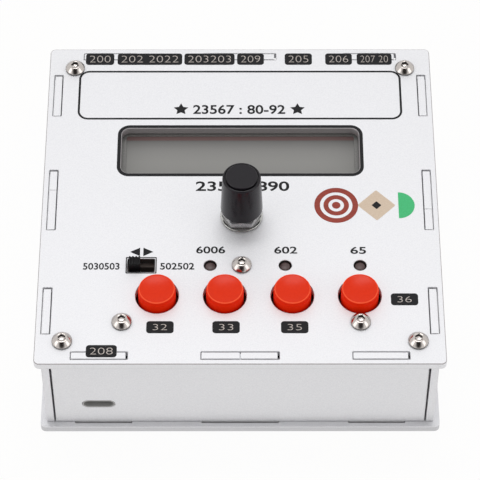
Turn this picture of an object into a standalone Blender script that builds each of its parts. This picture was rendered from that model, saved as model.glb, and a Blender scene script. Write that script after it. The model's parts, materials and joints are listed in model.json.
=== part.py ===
"""Morse code keyer: a desktop box of slotted sheet-metal panels with a character display, a
push-and-turn speed knob, four message buttons, a mode slide switch, three indicator lamps and a
row of rear sockets.

Metres, +Z up, front towards -Y. The origin is under the middle of the box, on the surface that its
feet stand on.
Run with: blender --background --python part.py
"""

import math

import bmesh
import bpy
from mathutils import Matrix, Vector

# Case: two plates and four walls of sheet metal, tabs of the walls in slots of the plates
PLATE_WIDTH = 0.112
PLATE_DEPTH = 0.112
PLATE_CORNER_RADIUS = 0.0025
PLATE_SHEET = 0.0024
WALL_SHEET = 0.0021
INNER_HEIGHT = 0.0293
WALL_INSET = 0.0018
WALL_END_GAP = 0.0003
END_TAB_LENGTH = 0.0151
END_TAB_INSET = 0.01015
MIDDLE_TAB_LENGTH = 0.0209
SLOT_CLEARANCE = 0.00025
SEAT_GAP = 0.0002

# Feet: stuck under the bottom plate
FOOT_DIAMETER = 0.0090
FOOT_TAPER = 0.0005
FOOT_HEIGHT = 0.0030
FOOT_INSET = 0.0165

# Button-head screws
SCREW_DIAMETER = 0.0030
SCREW_CLEARANCE = 0.0002
SCREW_INSET = 0.0075
HEAD_OVERHANG = 0.0013
HEAD_HEIGHT = 0.00165
HEAD_RIM_HEIGHT = 0.0003
SOCKET_WIDTH = 0.0020
SOCKET_DEPTH = 0.0011
SOCKET_RING = 0.0004
TOP_SCREW_REACH = 0.0058
BOTTOM_SCREW_REACH = 0.0042

# Circuit boards and what holds them
BOARD_THICKNESS = 0.0016
BOARD_MARGIN = 0.0005
MAIN_BOARD_RISE = 0.0057
SPACER_WALL = 0.0013
POST_WALL = 0.00105
BUTTON_SPACER_WALL = 0.0008
BUTTON_BOARD_EDGE = 0.0014
LINK_HEADER_LENGTH = 0.0203
LINK_HEADER_WIDTH = 0.0050
LINK_HEADER_X_SHARE = 0.45
LINK_HEADER_SETBACK = 0.0037

# Character display
DISPLAY_X_SHARE = 0.0016
DISPLAY_BOARD_WIDTH = 0.080
DISPLAY_BOARD_DEPTH = 0.036
DISPLAY_DROP = 0.0012
VIEW_WIDTH = 0.066
VIEW_DEPTH = 0.016
VIEW_MARGIN_X = 0.00115
VIEW_MARGIN_Y = 0.00015
WINDOW_RADIUS = 0.0023
FRAME_SIDE_RIM = 0.0026
FRAME_LONG_RIM = 0.0041
FRAME_HEIGHT = 0.0078
FRAME_WALL = 0.0006
GLASS_THICKNESS = 0.0018
DISPLAY_PIN_PITCH = 0.00254
DISPLAY_PIN_COUNT = 16
DISPLAY_HEADER_WIDTH = 0.0025
DISPLAY_HEADER_INSET = 0.0030
DISPLAY_HEADER_X_SHARE = -0.32
PILLAR_DIAMETER = 0.0050
PILLAR_INSET = 0.0025

# Push buttons
BUTTON_X_SHARES = (-0.409, -0.075, 0.257, 0.589)
BUTTON_TRAVEL = 0.0003
CAP_DIAMETER = 0.0104
CAP_CLEARANCE = 0.00065
CAP_RISE = 0.0036
CAP_FILLET = 0.0005
CAP_DISH = 0.00035
CAP_DISH_SHARES = (0, 0.5, 0.8, 1)
CAP_STOP_GAP = 0.0005
STEM_DIAMETER = 0.0066
STEM_CLEARANCE = 0.00015
STEM_DEPTH = 0.0018
SWITCH_WIDTH = 0.0120
SWITCH_HEIGHT = 0.0040

# Mode slide switch
SLIDE_X_SHARE = -0.491
ROW_GAP = 0.0010
LEVER_WIDTH = 0.0031
LEVER_DEPTH = 0.0028
LEVER_RISE = 0.0025
LEVER_TRAVEL = 0.0036
LEVER_CLEARANCE = 0.00015
LEVER_SINK = 0.0024
LEVER_BEVEL = 0.0002
SLIDE_END_WALL = 0.0028
SLIDE_SIDE_WALL = 0.00175
SLIDE_HEIGHT = 0.0062
SLIDE_MARGIN_X = 0.0009
SLIDE_MARGIN_Y = 0.00105

# Indicator lamps
LAMP_X_SHARES = (-0.148, 0.224, 0.596)
LAMP_DIAMETER = 0.0030
LAMP_CLEARANCE = 0.0003
LAMP_HEIGHT = 0.0053
LAMP_RECESS = 0.0007
LAMP_FLANGE = 0.0004
LAMP_FLANGE_HEIGHT = 0.0010
LAMP_LEAD_WIDTH = 0.0005
LAMP_LEAD_PITCH = 0.0018

# Rotary encoder with push switch, and its knob
ENCODER_X_SHARE = 0.008
ENCODER_WIDTH = 0.0120
ENCODER_HEIGHT = 0.0066
SHAFT_DIAMETER = 0.0060
SHAFT_CLEARANCE = 0.0001
SHAFT_FLAT = 0.0015
BUSHING_WALL = 0.0004
BUSHING_RISE = 0.0028
BUSHING_CLEARANCE = 0.00015
WASHER_BRIM = 0.00235
WASHER_THICKNESS = 0.0005
NUT_WALL = 0.00135
NUT_HEIGHT = 0.0021
PUSH_TRAVEL = 0.0005
PUSH_STOP_GAP = 0.0003
PUSH_ROD_DIAMETER = 0.0030
PUSH_ROD_LENGTH = 0.0022
KNOB_BASE_DIAMETER = 0.0118
KNOB_TOP_DIAMETER = 0.0107
KNOB_RISE = 0.0041
KNOB_HEIGHT = 0.0141
KNOB_CHAMFER = 0.0009
KNOB_CAP_THICKNESS = 0.0022

# Rear audio sockets, and the USB sockets at the back and the front
JACK_COUNT = 5
JACK_WIDTH = 0.0065
JACK_DEPTH = 0.0115
JACK_HEIGHT = 0.0052
JACK_BORE = 0.0036
JACK_BORE_DEPTH = 0.0110
NOZZLE_WALL = 0.0007
NOZZLE_CLEARANCE = 0.0003
USB_C_WIDTH = 0.00894
USB_C_HEIGHT = 0.0032
USB_C_DEPTH = 0.0073
USB_C_SHELL = 0.0003
USB_C_TONGUE_WIDTH = 0.0067
USB_C_TONGUE_HEIGHT = 0.0007
USB_C_TONGUE_LENGTH = 0.0045
USB_C_CAVITY_DEPTH = 0.0060
USB_C_CLEARANCE = 0.00012
FRONT_USB_GAP = 0.0020
USB_A_WIDTH = 0.0131
USB_A_HEIGHT = 0.0057
USB_A_DEPTH = 0.0140
USB_A_SHELL = 0.0004
USB_A_TONGUE_GAP = 0.0007
USB_A_TONGUE_HEIGHT = 0.0019
USB_A_TONGUE_LENGTH = 0.0085
USB_A_CAVITY_DEPTH = 0.0115
USB_A_CLEARANCE = 0.0003

# Parts on the main board
CHIP_GAP = 0.0005
CHIP_WIDTH = 0.0070
CHIP_THICKNESS = 0.0010
CHIP_LEADS = 8
CHIP_LEAD_PITCH = 0.0008
CHIP_LEAD_WIDTH = 0.0004
CHIP_LEAD_LENGTH = 0.0010
CHIP_LEAD_THICKNESS = 0.0003
SOUNDER_X_SHARE = -0.30
SOUNDER_Y_SHARE = -0.32
SOUNDER_DIAMETER = 0.0120
SOUNDER_HEIGHT = 0.0085
SOUNDER_HOLE = 0.0020
SOUNDER_HOLE_DEPTH = 0.0015

# Shares of the free depth: behind the display, behind the encoder's row, and in front of it
FREE_DEPTH_SHARES = (0.198, 0.194, 0.345)

# Shares of the rear row's free width that lie before each socket: USB-C, USB-A, then the audio sockets
REAR_SOCKET_SHARES = (0.012, 0.099, 0.310, 0.460, 0.667, 0.811, 0.918)

OVERRUN = 0.0010
WELD = 0.000005
FINE_STEPS = 32
ROUND_STEPS = 24
SMALL_STEPS = 16
FILLET_STEPS = 4

# Levels and places that follow from the sizes above
HALF_WIDTH = PLATE_WIDTH / 2
HALF_DEPTH = PLATE_DEPTH / 2
BASE = FOOT_HEIGHT
FLOOR = BASE + PLATE_SHEET
CEILING = FLOOR + INNER_HEIGHT
TOP = CEILING + PLATE_SHEET
WALL_OFFSET_X = HALF_WIDTH - WALL_INSET - WALL_SHEET / 2
WALL_OFFSET_Y = HALF_DEPTH - WALL_INSET - WALL_SHEET / 2
INSIDE_X = WALL_OFFSET_X - WALL_SHEET / 2
INSIDE_Y = WALL_OFFSET_Y - WALL_SHEET / 2
SCREW_HOLE_RADIUS = SCREW_DIAMETER / 2 + SCREW_CLEARANCE
MAIN_BOARD_TOP = FLOOR + MAIN_BOARD_RISE + BOARD_THICKNESS
BUTTON_BOARD_TOP = CEILING - ENCODER_HEIGHT - 2 * SEAT_GAP
BUTTON_BOARD_BOTTOM = BUTTON_BOARD_TOP - BOARD_THICKNESS
BUTTON_SPACER_DIAMETER = 2 * (SCREW_HOLE_RADIUS + BUTTON_SPACER_WALL)
FRAME_TOP = CEILING - DISPLAY_DROP
DISPLAY_BOARD_TOP = FRAME_TOP - FRAME_HEIGHT - SEAT_GAP
APERTURE_WIDTH = LEVER_WIDTH + LEVER_TRAVEL + 2 * LEVER_CLEARANCE
APERTURE_DEPTH = LEVER_DEPTH + 2 * LEVER_CLEARANCE
SLIDE_DEPTH = APERTURE_DEPTH + 2 * SLIDE_SIDE_WALL
SOCKET_MOUTH = WALL_OFFSET_Y + WALL_SHEET / 2
SOCKET_END = SOCKET_MOUTH - USB_A_DEPTH
FRAME_REACH = VIEW_DEPTH / 2 + FRAME_LONG_RIM
BUTTON_FRONT = SWITCH_WIDTH + 2 * SEAT_GAP + BUTTON_SPACER_DIAMETER + BUTTON_BOARD_EDGE
ROWS_DEPTH = (
    DISPLAY_BOARD_DEPTH / 2 + FRAME_REACH + ROW_GAP + ENCODER_WIDTH + SLIDE_DEPTH + ROW_GAP + BUTTON_FRONT)
FREE_DEPTH = SOCKET_END + INSIDE_Y - ROWS_DEPTH
DISPLAY_X = DISPLAY_X_SHARE * HALF_WIDTH
DISPLAY_Y = SOCKET_END - FREE_DEPTH_SHARES[0] * FREE_DEPTH - DISPLAY_BOARD_DEPTH / 2
BUTTON_BOARD_REAR = DISPLAY_Y - FRAME_REACH - FREE_DEPTH_SHARES[1] * FREE_DEPTH
ENCODER_X = ENCODER_X_SHARE * HALF_WIDTH
ENCODER_Y = BUTTON_BOARD_REAR - ROW_GAP - ENCODER_WIDTH / 2
CONTROL_ROW_Y = ENCODER_Y - ENCODER_WIDTH / 2 - FREE_DEPTH_SHARES[2] * FREE_DEPTH - SLIDE_DEPTH / 2
BUTTON_ROW_Y = CONTROL_ROW_Y - SLIDE_DEPTH / 2 - ROW_GAP - SWITCH_WIDTH / 2
SLIDE_X = SLIDE_X_SHARE * HALF_WIDTH
LINK_X = LINK_HEADER_X_SHARE * HALF_WIDTH
LINK_Y = ENCODER_Y - LINK_HEADER_SETBACK
BUSHING_RADIUS = SHAFT_DIAMETER / 2 + SHAFT_CLEARANCE + BUSHING_WALL
BUSHING_HOLE_RADIUS = BUSHING_RADIUS + BUSHING_CLEARANCE
KNOB_BOTTOM = TOP + KNOB_RISE
KNOB_TOP = KNOB_BOTTOM + KNOB_HEIGHT
BOARD_SCREW_MARGIN = SWITCH_WIDTH / 2 + BUTTON_SPACER_DIAMETER / 2
BOARD_SCREW_ROW_Y = BUTTON_ROW_Y - BOARD_SCREW_MARGIN - 2 * SEAT_GAP
BOARD_SCREW_PLACES = (
    (BUTTON_X_SHARES[0] * HALF_WIDTH - BOARD_SCREW_MARGIN - ROW_GAP, BOARD_SCREW_ROW_Y),
    (ENCODER_X, CONTROL_ROW_Y),
    (BUTTON_X_SHARES[3] * HALF_WIDTH, BOARD_SCREW_ROW_Y),
)
POST_FACE_X = HALF_WIDTH - SCREW_INSET - SCREW_HOLE_RADIUS - POST_WALL
FRONT_USB_X = FRONT_USB_GAP + USB_C_WIDTH / 2 - POST_FACE_X
REAR_SOCKET_WIDTHS = (USB_C_WIDTH, USB_A_WIDTH, *(JACK_WIDTH,) * JACK_COUNT)
JACK_AXIS_Z = MAIN_BOARD_TOP + SEAT_GAP + JACK_HEIGHT / 2
USB_C_AXIS_Z = MAIN_BOARD_TOP + SEAT_GAP + USB_C_HEIGHT / 2
USB_A_AXIS_Z = MAIN_BOARD_TOP + SEAT_GAP + USB_A_HEIGHT / 2

for old in list(bpy.data.objects):
    bpy.data.objects.remove(old)
PARTS = bpy.data.collections.new("morse_keyer")
CUTTERS = bpy.data.collections.new("cutters")
bpy.context.scene.collection.children.link(PARTS)
bpy.context.scene.collection.children.link(CUTTERS)


def material(name, colour, roughness, metallic=0.0):
    """A plain Principled material, made once for each name."""
    found = bpy.data.materials.get(name)
    if found:
        return found
    made = bpy.data.materials.new(name)
    made.use_nodes = True
    shader = made.node_tree.nodes["Principled BSDF"]
    shader.inputs["Base Color"].default_value = (*colour, 1.0)
    shader.inputs["Roughness"].default_value = roughness
    shader.inputs["Metallic"].default_value = metallic
    return made


ALUMINIUM = material("bead_blasted_aluminium", (0.80, 0.80, 0.81), 0.55, 0.4)
STAINLESS = material("stainless_steel", (0.62, 0.60, 0.58), 0.18, 1.0)
NICKEL = material("nickel_plate", (0.70, 0.70, 0.68), 0.15, 1.0)
BRASS = material("nickel_plated_brass", (0.66, 0.63, 0.55), 0.30, 1.0)
RED_PLASTIC = material("red_plastic", (0.78, 0.05, 0.02), 0.30)
BLACK_PLASTIC = material("black_plastic", (0.012, 0.012, 0.013), 0.45)
KNOB_BLACK = material("knob_black", (0.022, 0.021, 0.023), 0.38)
RUBBER = material("rubber", (0.02, 0.02, 0.02), 0.85)
BLACK_STEEL = material("black_painted_steel", (0.03, 0.03, 0.035), 0.35)
GREEN_BOARD = material("green_board", (0.02, 0.13, 0.05), 0.45)
DISPLAY_GLASS = material("display_glass", (0.25, 0.25, 0.23), 0.12)
LIGHT_GUIDE = material("light_guide", (0.75, 0.78, 0.72), 0.30)
LAMP_RED = material("lamp_red", (0.12, 0.03, 0.03), 0.10)


def add(name, mesh, finish, collection=None):
    """An object for a mesh, in the parts' collection unless another is given."""
    made = bpy.data.objects.new(name, mesh)
    (collection or PARTS).objects.link(made)
    if finish:
        mesh.materials.append(finish)
    return made


def hidden(cutter):
    """Marks a cutter, or a piece that another is joined to, as a helper."""
    cutter.hide_render = True
    cutter.display_type = "WIRE"
    return cutter


def boxes_mesh(name, spans):
    """One mesh of boxes, each given by its lowest and highest corner."""
    shape = bmesh.new()
    for low, high in spans:
        size = Vector(high) - Vector(low)
        centre = (Vector(high) + Vector(low)) / 2
        place = Matrix.Translation(centre) @ Matrix.Diagonal((*size, 1))
        bmesh.ops.create_cube(shape, size=1, matrix=place)
    mesh = bpy.data.meshes.new(name)
    shape.to_mesh(mesh)
    shape.free()
    return mesh


def rods_mesh(name, rods, steps=SMALL_STEPS, along="Z"):
    """One mesh of rods, each given by its place, radius, start and end along the axis."""
    turn = {"Z": Matrix.Identity(4), "Y": Matrix.Rotation(-math.pi / 2, 4, "X")}[along]
    shape = bmesh.new()
    for place, radius, start, end in rods:
        middle = (start + end) / 2
        where = (place[0], place[1], middle) if along == "Z" else (place[0], middle, place[1])
        bmesh.ops.create_cone(
            shape, cap_ends=True, segments=steps, radius1=radius, radius2=radius,
            depth=end - start, matrix=Matrix.Translation(where) @ turn)
    mesh = bpy.data.meshes.new(name)
    shape.to_mesh(mesh)
    shape.free()
    return mesh


def circle(x, y, radius, steps=ROUND_STEPS):
    """Points of a circle in a flat outline."""
    turns = [2 * math.pi * step / steps for step in range(steps)]
    return [(x + radius * math.cos(turn), y + radius * math.sin(turn)) for turn in turns]


def rounded_rectangle(x, y, width, height, radius, steps=FILLET_STEPS):
    """Points of a rectangle whose corners are arcs; a radius of zero gives square corners."""
    if radius <= 0:
        corners = ((-1, -1), (1, -1), (1, 1), (-1, 1))
        return [(x + sx * width / 2, y + sy * height / 2) for sx, sy in corners]
    points = []
    for quarter, (sx, sy) in enumerate(((1, 1), (-1, 1), (-1, -1), (1, -1))):
        corner_x = x + sx * (width / 2 - radius)
        corner_y = y + sy * (height / 2 - radius)
        for step in range(steps + 1):
            turn = math.pi / 2 * (quarter + step / steps)
            points.append((corner_x + radius * math.cos(turn), corner_y + radius * math.sin(turn)))
    return points


def flat_mesh(name, outlines, thickness):
    """A flat piece from its outline and the outlines of its holes, centred on its own thickness."""
    curve = bpy.data.curves.new(name, "CURVE")
    curve.dimensions = "2D"
    curve.fill_mode = "BOTH"
    curve.extrude = thickness / 2
    for outline in outlines:
        spline = curve.splines.new("POLY")
        spline.points.add(len(outline) - 1)
        for point, (x, y) in zip(spline.points, outline):
            point.co = (x, y, 0, 1)
        spline.use_cyclic_u = True
    drawn = bpy.data.objects.new(name, curve)
    CUTTERS.objects.link(drawn)
    bpy.context.view_layer.update()
    mesh = bpy.data.meshes.new_from_object(drawn.evaluated_get(bpy.context.evaluated_depsgraph_get()))
    mesh.name = name
    bpy.data.objects.remove(drawn)
    bpy.data.curves.remove(curve)
    shape = bmesh.new()
    shape.from_mesh(mesh)
    bmesh.ops.remove_doubles(shape, verts=shape.verts, dist=WELD)
    bmesh.ops.recalc_face_normals(shape, faces=shape.faces)
    shape.to_mesh(mesh)
    shape.free()
    return mesh


def flat_piece(name, outlines, bottom, thickness, finish):
    """A flat horizontal piece, from its underside up."""
    made = add(name, flat_mesh(name, outlines, thickness), finish)
    made.location.z = bottom + thickness / 2
    return made


def turned(name, profile, place, finish, steps=ROUND_STEPS, collection=None):
    """A turned piece: its profile, as (radius, height), runs down the outer side from axis to axis."""
    mesh = bpy.data.meshes.new(name)
    points = [(radius, 0, height) for radius, height in profile]
    mesh.from_pydata(points, [(i, i + 1) for i in range(len(points) - 1)], [])
    made = add(name, mesh, finish, collection)
    made.location = (place[0], place[1], 0)
    screw = made.modifiers.new("turn", "SCREW")
    screw.steps = steps
    screw.render_steps = steps
    screw.use_merge_vertices = True
    screw.merge_threshold = WELD
    screw.use_smooth_shade = True
    return made


def cut(piece, cutter):
    """Cuts a helper from a piece."""
    boolean = piece.modifiers.new("cut", "BOOLEAN")
    boolean.operation = "DIFFERENCE"
    boolean.object = hidden(cutter)


def join(piece, other):
    """Joins a helper to a piece."""
    boolean = piece.modifiers.new("join", "BOOLEAN")
    boolean.operation = "UNION"
    boolean.object = hidden(other)


def joint_empty(name, place):
    """The empty that a moving piece hangs from, on its joint's axis."""
    empty = bpy.data.objects.new(name, None)
    PARTS.objects.link(empty)
    empty.location = place
    return empty


def hang(piece, empty):
    """Hangs a piece from an empty without moving it."""
    bpy.context.view_layer.update()
    piece.parent = empty
    piece.matrix_parent_inverse = empty.matrix_world.inverted()


def tab_spans(half_length):
    """Centre and length of the three tabs along an edge of that half length."""
    end = half_length - END_TAB_INSET - END_TAB_LENGTH / 2
    return ((-end, END_TAB_LENGTH), (0, MIDDLE_TAB_LENGTH), (end, END_TAB_LENGTH))


def corner_places(inset):
    """The four places that lie that far in from the plates' edges."""
    x = HALF_WIDTH - inset
    y = HALF_DEPTH - inset
    return ((-x, -y), (x, -y), (x, y), (-x, y))


def rear_socket_places():
    """The sockets' middles along the rear wall, with the free width between the posts shared out."""
    free = 2 * POST_FACE_X - sum(REAR_SOCKET_WIDTHS)
    edge = -POST_FACE_X
    places = []
    for width, share in zip(REAR_SOCKET_WIDTHS, REAR_SOCKET_SHARES):
        places.append(edge + width / 2 + share * free)
        edge += width
    return places


def slots():
    """Outlines of the twelve slots that the walls' tabs fit."""
    wide = WALL_SHEET + 2 * SLOT_CLEARANCE
    outlines = []
    for side in (-1, 1):
        for centre, length in tab_spans(HALF_WIDTH):
            long = length + 2 * SLOT_CLEARANCE
            outlines.append(rounded_rectangle(centre, side * WALL_OFFSET_Y, long, wide, 0))
        for centre, length in tab_spans(HALF_DEPTH):
            long = length + 2 * SLOT_CLEARANCE
            outlines.append(rounded_rectangle(side * WALL_OFFSET_X, centre, wide, long, 0))
    return outlines


def plate_outline():
    """The rounded outline that both plates share."""
    return rounded_rectangle(0, 0, PLATE_WIDTH, PLATE_DEPTH, PLATE_CORNER_RADIUS)


def corner_holes():
    """Outlines of the plates' four corner screw holes."""
    return [circle(x, y, SCREW_HOLE_RADIUS, SMALL_STEPS) for x, y in corner_places(SCREW_INSET)]


def top_plate():
    """The control panel: slots, screw holes, display window, and holes for the controls and lamps."""
    window_width = VIEW_WIDTH + 2 * VIEW_MARGIN_X
    window_depth = VIEW_DEPTH + 2 * VIEW_MARGIN_Y
    slide_width = APERTURE_WIDTH + 2 * SLIDE_MARGIN_X
    slide_depth = APERTURE_DEPTH + 2 * SLIDE_MARGIN_Y
    cap_hole = CAP_DIAMETER / 2 + CAP_CLEARANCE
    lamp_hole = LAMP_DIAMETER / 2 + LAMP_CLEARANCE
    outlines = [
        plate_outline(),
        rounded_rectangle(DISPLAY_X, DISPLAY_Y, window_width, window_depth, WINDOW_RADIUS),
        rounded_rectangle(SLIDE_X, CONTROL_ROW_Y, slide_width, slide_depth, 0),
        *slots(),
        *corner_holes(),
    ]
    for share in BUTTON_X_SHARES:
        outlines.append(circle(share * HALF_WIDTH, BUTTON_ROW_Y, cap_hole, FINE_STEPS))
    for share in LAMP_X_SHARES:
        outlines.append(circle(share * HALF_WIDTH, CONTROL_ROW_Y, lamp_hole, SMALL_STEPS))
    for x, y in BOARD_SCREW_PLACES:
        outlines.append(circle(x, y, SCREW_HOLE_RADIUS, SMALL_STEPS))
    outlines.append(circle(ENCODER_X, ENCODER_Y, BUSHING_HOLE_RADIUS))
    flat_piece("top_plate", outlines, CEILING, PLATE_SHEET, ALUMINIUM)


def bottom_plate():
    """The base: the same outline, slots and corner holes as the top plate."""
    outlines = [plate_outline(), *slots(), *corner_holes()]
    flat_piece("bottom_plate", outlines, BASE, PLATE_SHEET, ALUMINIUM)


def wall_outline(half_length, tabs):
    """A wall seen flat: its body is between the plates, and its tabs reach the plates' outer faces."""
    body = INNER_HEIGHT / 2 - SEAT_GAP
    tip = INNER_HEIGHT / 2 + PLATE_SHEET
    lower = [(-half_length, -body)]
    upper = [(half_length, body)]
    for centre, length in tabs:
        start = centre - length / 2
        end = centre + length / 2
        lower += [(start, -body), (start, -tip), (end, -tip), (end, -body)]
        upper += [(-start, body), (-start, tip), (-end, tip), (-end, body)]
    return lower + [(half_length, -body)] + upper + [(-half_length, body)]


def wall(name, outlines, place, turn):
    """A wall from its flat outlines, stood on edge at its place."""
    made = add(name, flat_mesh(name, outlines, WALL_SHEET), ALUMINIUM)
    made.rotation_euler = (math.pi / 2, 0, turn)
    made.location = (place[0], place[1], FLOOR + INNER_HEIGHT / 2)


def walls():
    """The front wall has a slot for a USB-C plug, and the rear wall has a hole for each rear socket."""
    middle = FLOOR + INNER_HEIGHT / 2
    usb_width = USB_C_WIDTH + 2 * USB_C_CLEARANCE
    usb_height = USB_C_HEIGHT + 2 * USB_C_CLEARANCE
    short = wall_outline(INSIDE_X - WALL_END_GAP, tab_spans(HALF_WIDTH))
    long = wall_outline(WALL_OFFSET_Y + WALL_SHEET / 2, tab_spans(HALF_DEPTH))

    def usb_c_slot(x):
        return rounded_rectangle(
            x, USB_C_AXIS_Z - middle, usb_width, usb_height, usb_height / 2 - WELD)

    usb_c_x, usb_a_x, *jack_places = rear_socket_places()
    rear_holes = [usb_c_slot(usb_c_x)]
    rear_holes.append(rounded_rectangle(
        usb_a_x, USB_A_AXIS_Z - middle,
        USB_A_WIDTH + 2 * USB_A_CLEARANCE, USB_A_HEIGHT + 2 * USB_A_CLEARANCE, 0))
    for x in jack_places:
        radius = JACK_BORE / 2 + NOZZLE_WALL + NOZZLE_CLEARANCE
        rear_holes.append(circle(x, JACK_AXIS_Z - middle, radius))
    wall("front_wall", [short, usb_c_slot(FRONT_USB_X)], (0, -WALL_OFFSET_Y), 0)
    wall("rear_wall", [short, *rear_holes], (0, WALL_OFFSET_Y), 0)
    wall("left_wall", [long], (-WALL_OFFSET_X, 0), math.pi / 2)
    wall("right_wall", [long], (WALL_OFFSET_X, 0), math.pi / 2)


def screw(name, place, seat, length, up):
    """A hexagon-socket button-head screw: its head bears on the seat, its shank points down, or up."""
    head_radius = SCREW_DIAMETER / 2 + HEAD_OVERHANG
    socket_radius = SOCKET_WIDTH / math.sqrt(3)
    ring_radius = socket_radius + SOCKET_RING
    dome = HEAD_HEIGHT - HEAD_RIM_HEIGHT
    profile = [(0, HEAD_HEIGHT), (ring_radius, HEAD_HEIGHT)]
    for step in range(1, FILLET_STEPS):
        turn = math.pi / 2 * step / FILLET_STEPS
        profile.append((
            ring_radius + (head_radius - ring_radius) * math.sin(turn),
            HEAD_RIM_HEIGHT + dome * math.cos(turn)))
    profile += [(head_radius, HEAD_RIM_HEIGHT), (head_radius, 0)]
    profile += [(SCREW_DIAMETER / 2, 0), (SCREW_DIAMETER / 2, -length), (0, -length)]
    made = turned(name, profile, (0, 0), STAINLESS, SMALL_STEPS)
    socket = [((0, 0), socket_radius, HEAD_HEIGHT - SOCKET_DEPTH, HEAD_HEIGHT + OVERRUN)]
    cutter = add(f"{name}_socket", rods_mesh(f"{name}_socket", socket, 6), None, CUTTERS)
    cut(made, cutter)
    for piece in (made, cutter):
        piece.location = (place[0], place[1], seat)
        piece.rotation_euler = (math.pi if up else 0, 0, 0)


def screws():
    """Four screws into the corner posts from each side, and three that hold the button board."""
    down = TOP_SCREW_REACH + PLATE_SHEET + SEAT_GAP
    up = BOTTOM_SCREW_REACH + PLATE_SHEET + MAIN_BOARD_RISE + BOARD_THICKNESS + SEAT_GAP
    for number, place in enumerate(corner_places(SCREW_INSET), 1):
        screw(f"top_corner_screw_{number}", place, TOP + SEAT_GAP, down, False)
        screw(f"bottom_corner_screw_{number}", place, BASE - SEAT_GAP, up, True)
    for number, place in enumerate(BOARD_SCREW_PLACES, 1):
        screw(f"board_screw_{number}", place, TOP + SEAT_GAP, down, False)


def corner_posts():
    """Hexagon posts between the main board and the top plate, a flat towards each side wall."""
    across = 2 * (SCREW_HOLE_RADIUS + POST_WALL)
    bottom = MAIN_BOARD_TOP + SEAT_GAP
    height = CEILING - SEAT_GAP - bottom
    for number, (x, y) in enumerate(corner_places(SCREW_INSET), 1):
        hexagon = [(x + px, y + py) for py, px in circle(0, 0, across / math.sqrt(3), 6)]
        bore = circle(x, y, SCREW_HOLE_RADIUS, SMALL_STEPS)
        flat_piece(f"corner_post_{number}", [hexagon[::-1], bore], bottom, height, BRASS)


def feet():
    """Tapered rubber feet, stuck under the bottom plate inside its corners."""
    top = FOOT_DIAMETER / 2
    tip = top - FOOT_TAPER
    profile = [(0, BASE - SEAT_GAP), (top, BASE - SEAT_GAP)]
    profile += [(tip, FOOT_TAPER), (tip - FOOT_TAPER, 0), (0, 0)]
    for number, place in enumerate(corner_places(FOOT_INSET), 1):
        turned(f"foot_{number}", profile, place, RUBBER)


def main_board():
    """The main circuit board, with the soldered spacers that hold it off the bottom plate."""
    half_x = INSIDE_X - BOARD_MARGIN
    half_y = INSIDE_Y - BOARD_MARGIN
    bottom = MAIN_BOARD_TOP - BOARD_THICKNESS
    board = add("main_board", boxes_mesh("main_board", [
        ((-half_x, -half_y, bottom), (half_x, half_y, MAIN_BOARD_TOP))]), GREEN_BOARD)
    spacer_radius = SCREW_HOLE_RADIUS + SPACER_WALL
    places = corner_places(SCREW_INSET)
    embed = bottom + BOARD_THICKNESS / 2
    bore_top = MAIN_BOARD_TOP + OVERRUN
    spacers = [(place, spacer_radius, FLOOR + SEAT_GAP, embed) for place in places]
    bores = [(place, SCREW_HOLE_RADIUS, FLOOR - OVERRUN, bore_top) for place in places]
    join(board, add("main_board_spacers", rods_mesh("main_board_spacers", spacers), None, CUTTERS))
    cut(board, add("main_board_bores", rods_mesh("main_board_bores", bores), None, CUTTERS))


def button_board():
    """The board under the controls, with spacers up to the top plate and a header down."""
    edge = BUTTON_SPACER_DIAMETER / 2 + BUTTON_BOARD_EDGE
    low_x = BOARD_SCREW_PLACES[0][0] - edge
    high_x = BOARD_SCREW_PLACES[2][0] + edge + BUTTON_BOARD_EDGE
    low_y = BOARD_SCREW_ROW_Y - edge
    board = add("button_board", boxes_mesh("button_board", [(
        (low_x, low_y, BUTTON_BOARD_BOTTOM),
        (high_x, BUTTON_BOARD_REAR, BUTTON_BOARD_TOP))]), GREEN_BOARD)
    embed = BUTTON_BOARD_TOP - BOARD_THICKNESS / 2
    spacers = []
    bores = []
    for place in BOARD_SCREW_PLACES:
        spacers.append((place, BUTTON_SPACER_DIAMETER / 2, embed, CEILING - SEAT_GAP))
        bores.append((place, SCREW_HOLE_RADIUS, BUTTON_BOARD_BOTTOM - OVERRUN, CEILING + OVERRUN))
    half_x = LINK_HEADER_LENGTH / 2
    half_y = LINK_HEADER_WIDTH / 2
    link = [(
        (LINK_X - half_x, LINK_Y - half_y, MAIN_BOARD_TOP + SEAT_GAP),
        (LINK_X + half_x, LINK_Y + half_y, embed))]
    join(board, add("button_board_link", boxes_mesh("button_board_link", link), None, CUTTERS))
    join(board, add("button_board_spacers", rods_mesh("button_board_spacers", spacers), None, CUTTERS))
    cut(board, add("button_board_bores", rods_mesh("button_board_bores", bores), None, CUTTERS))


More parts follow.
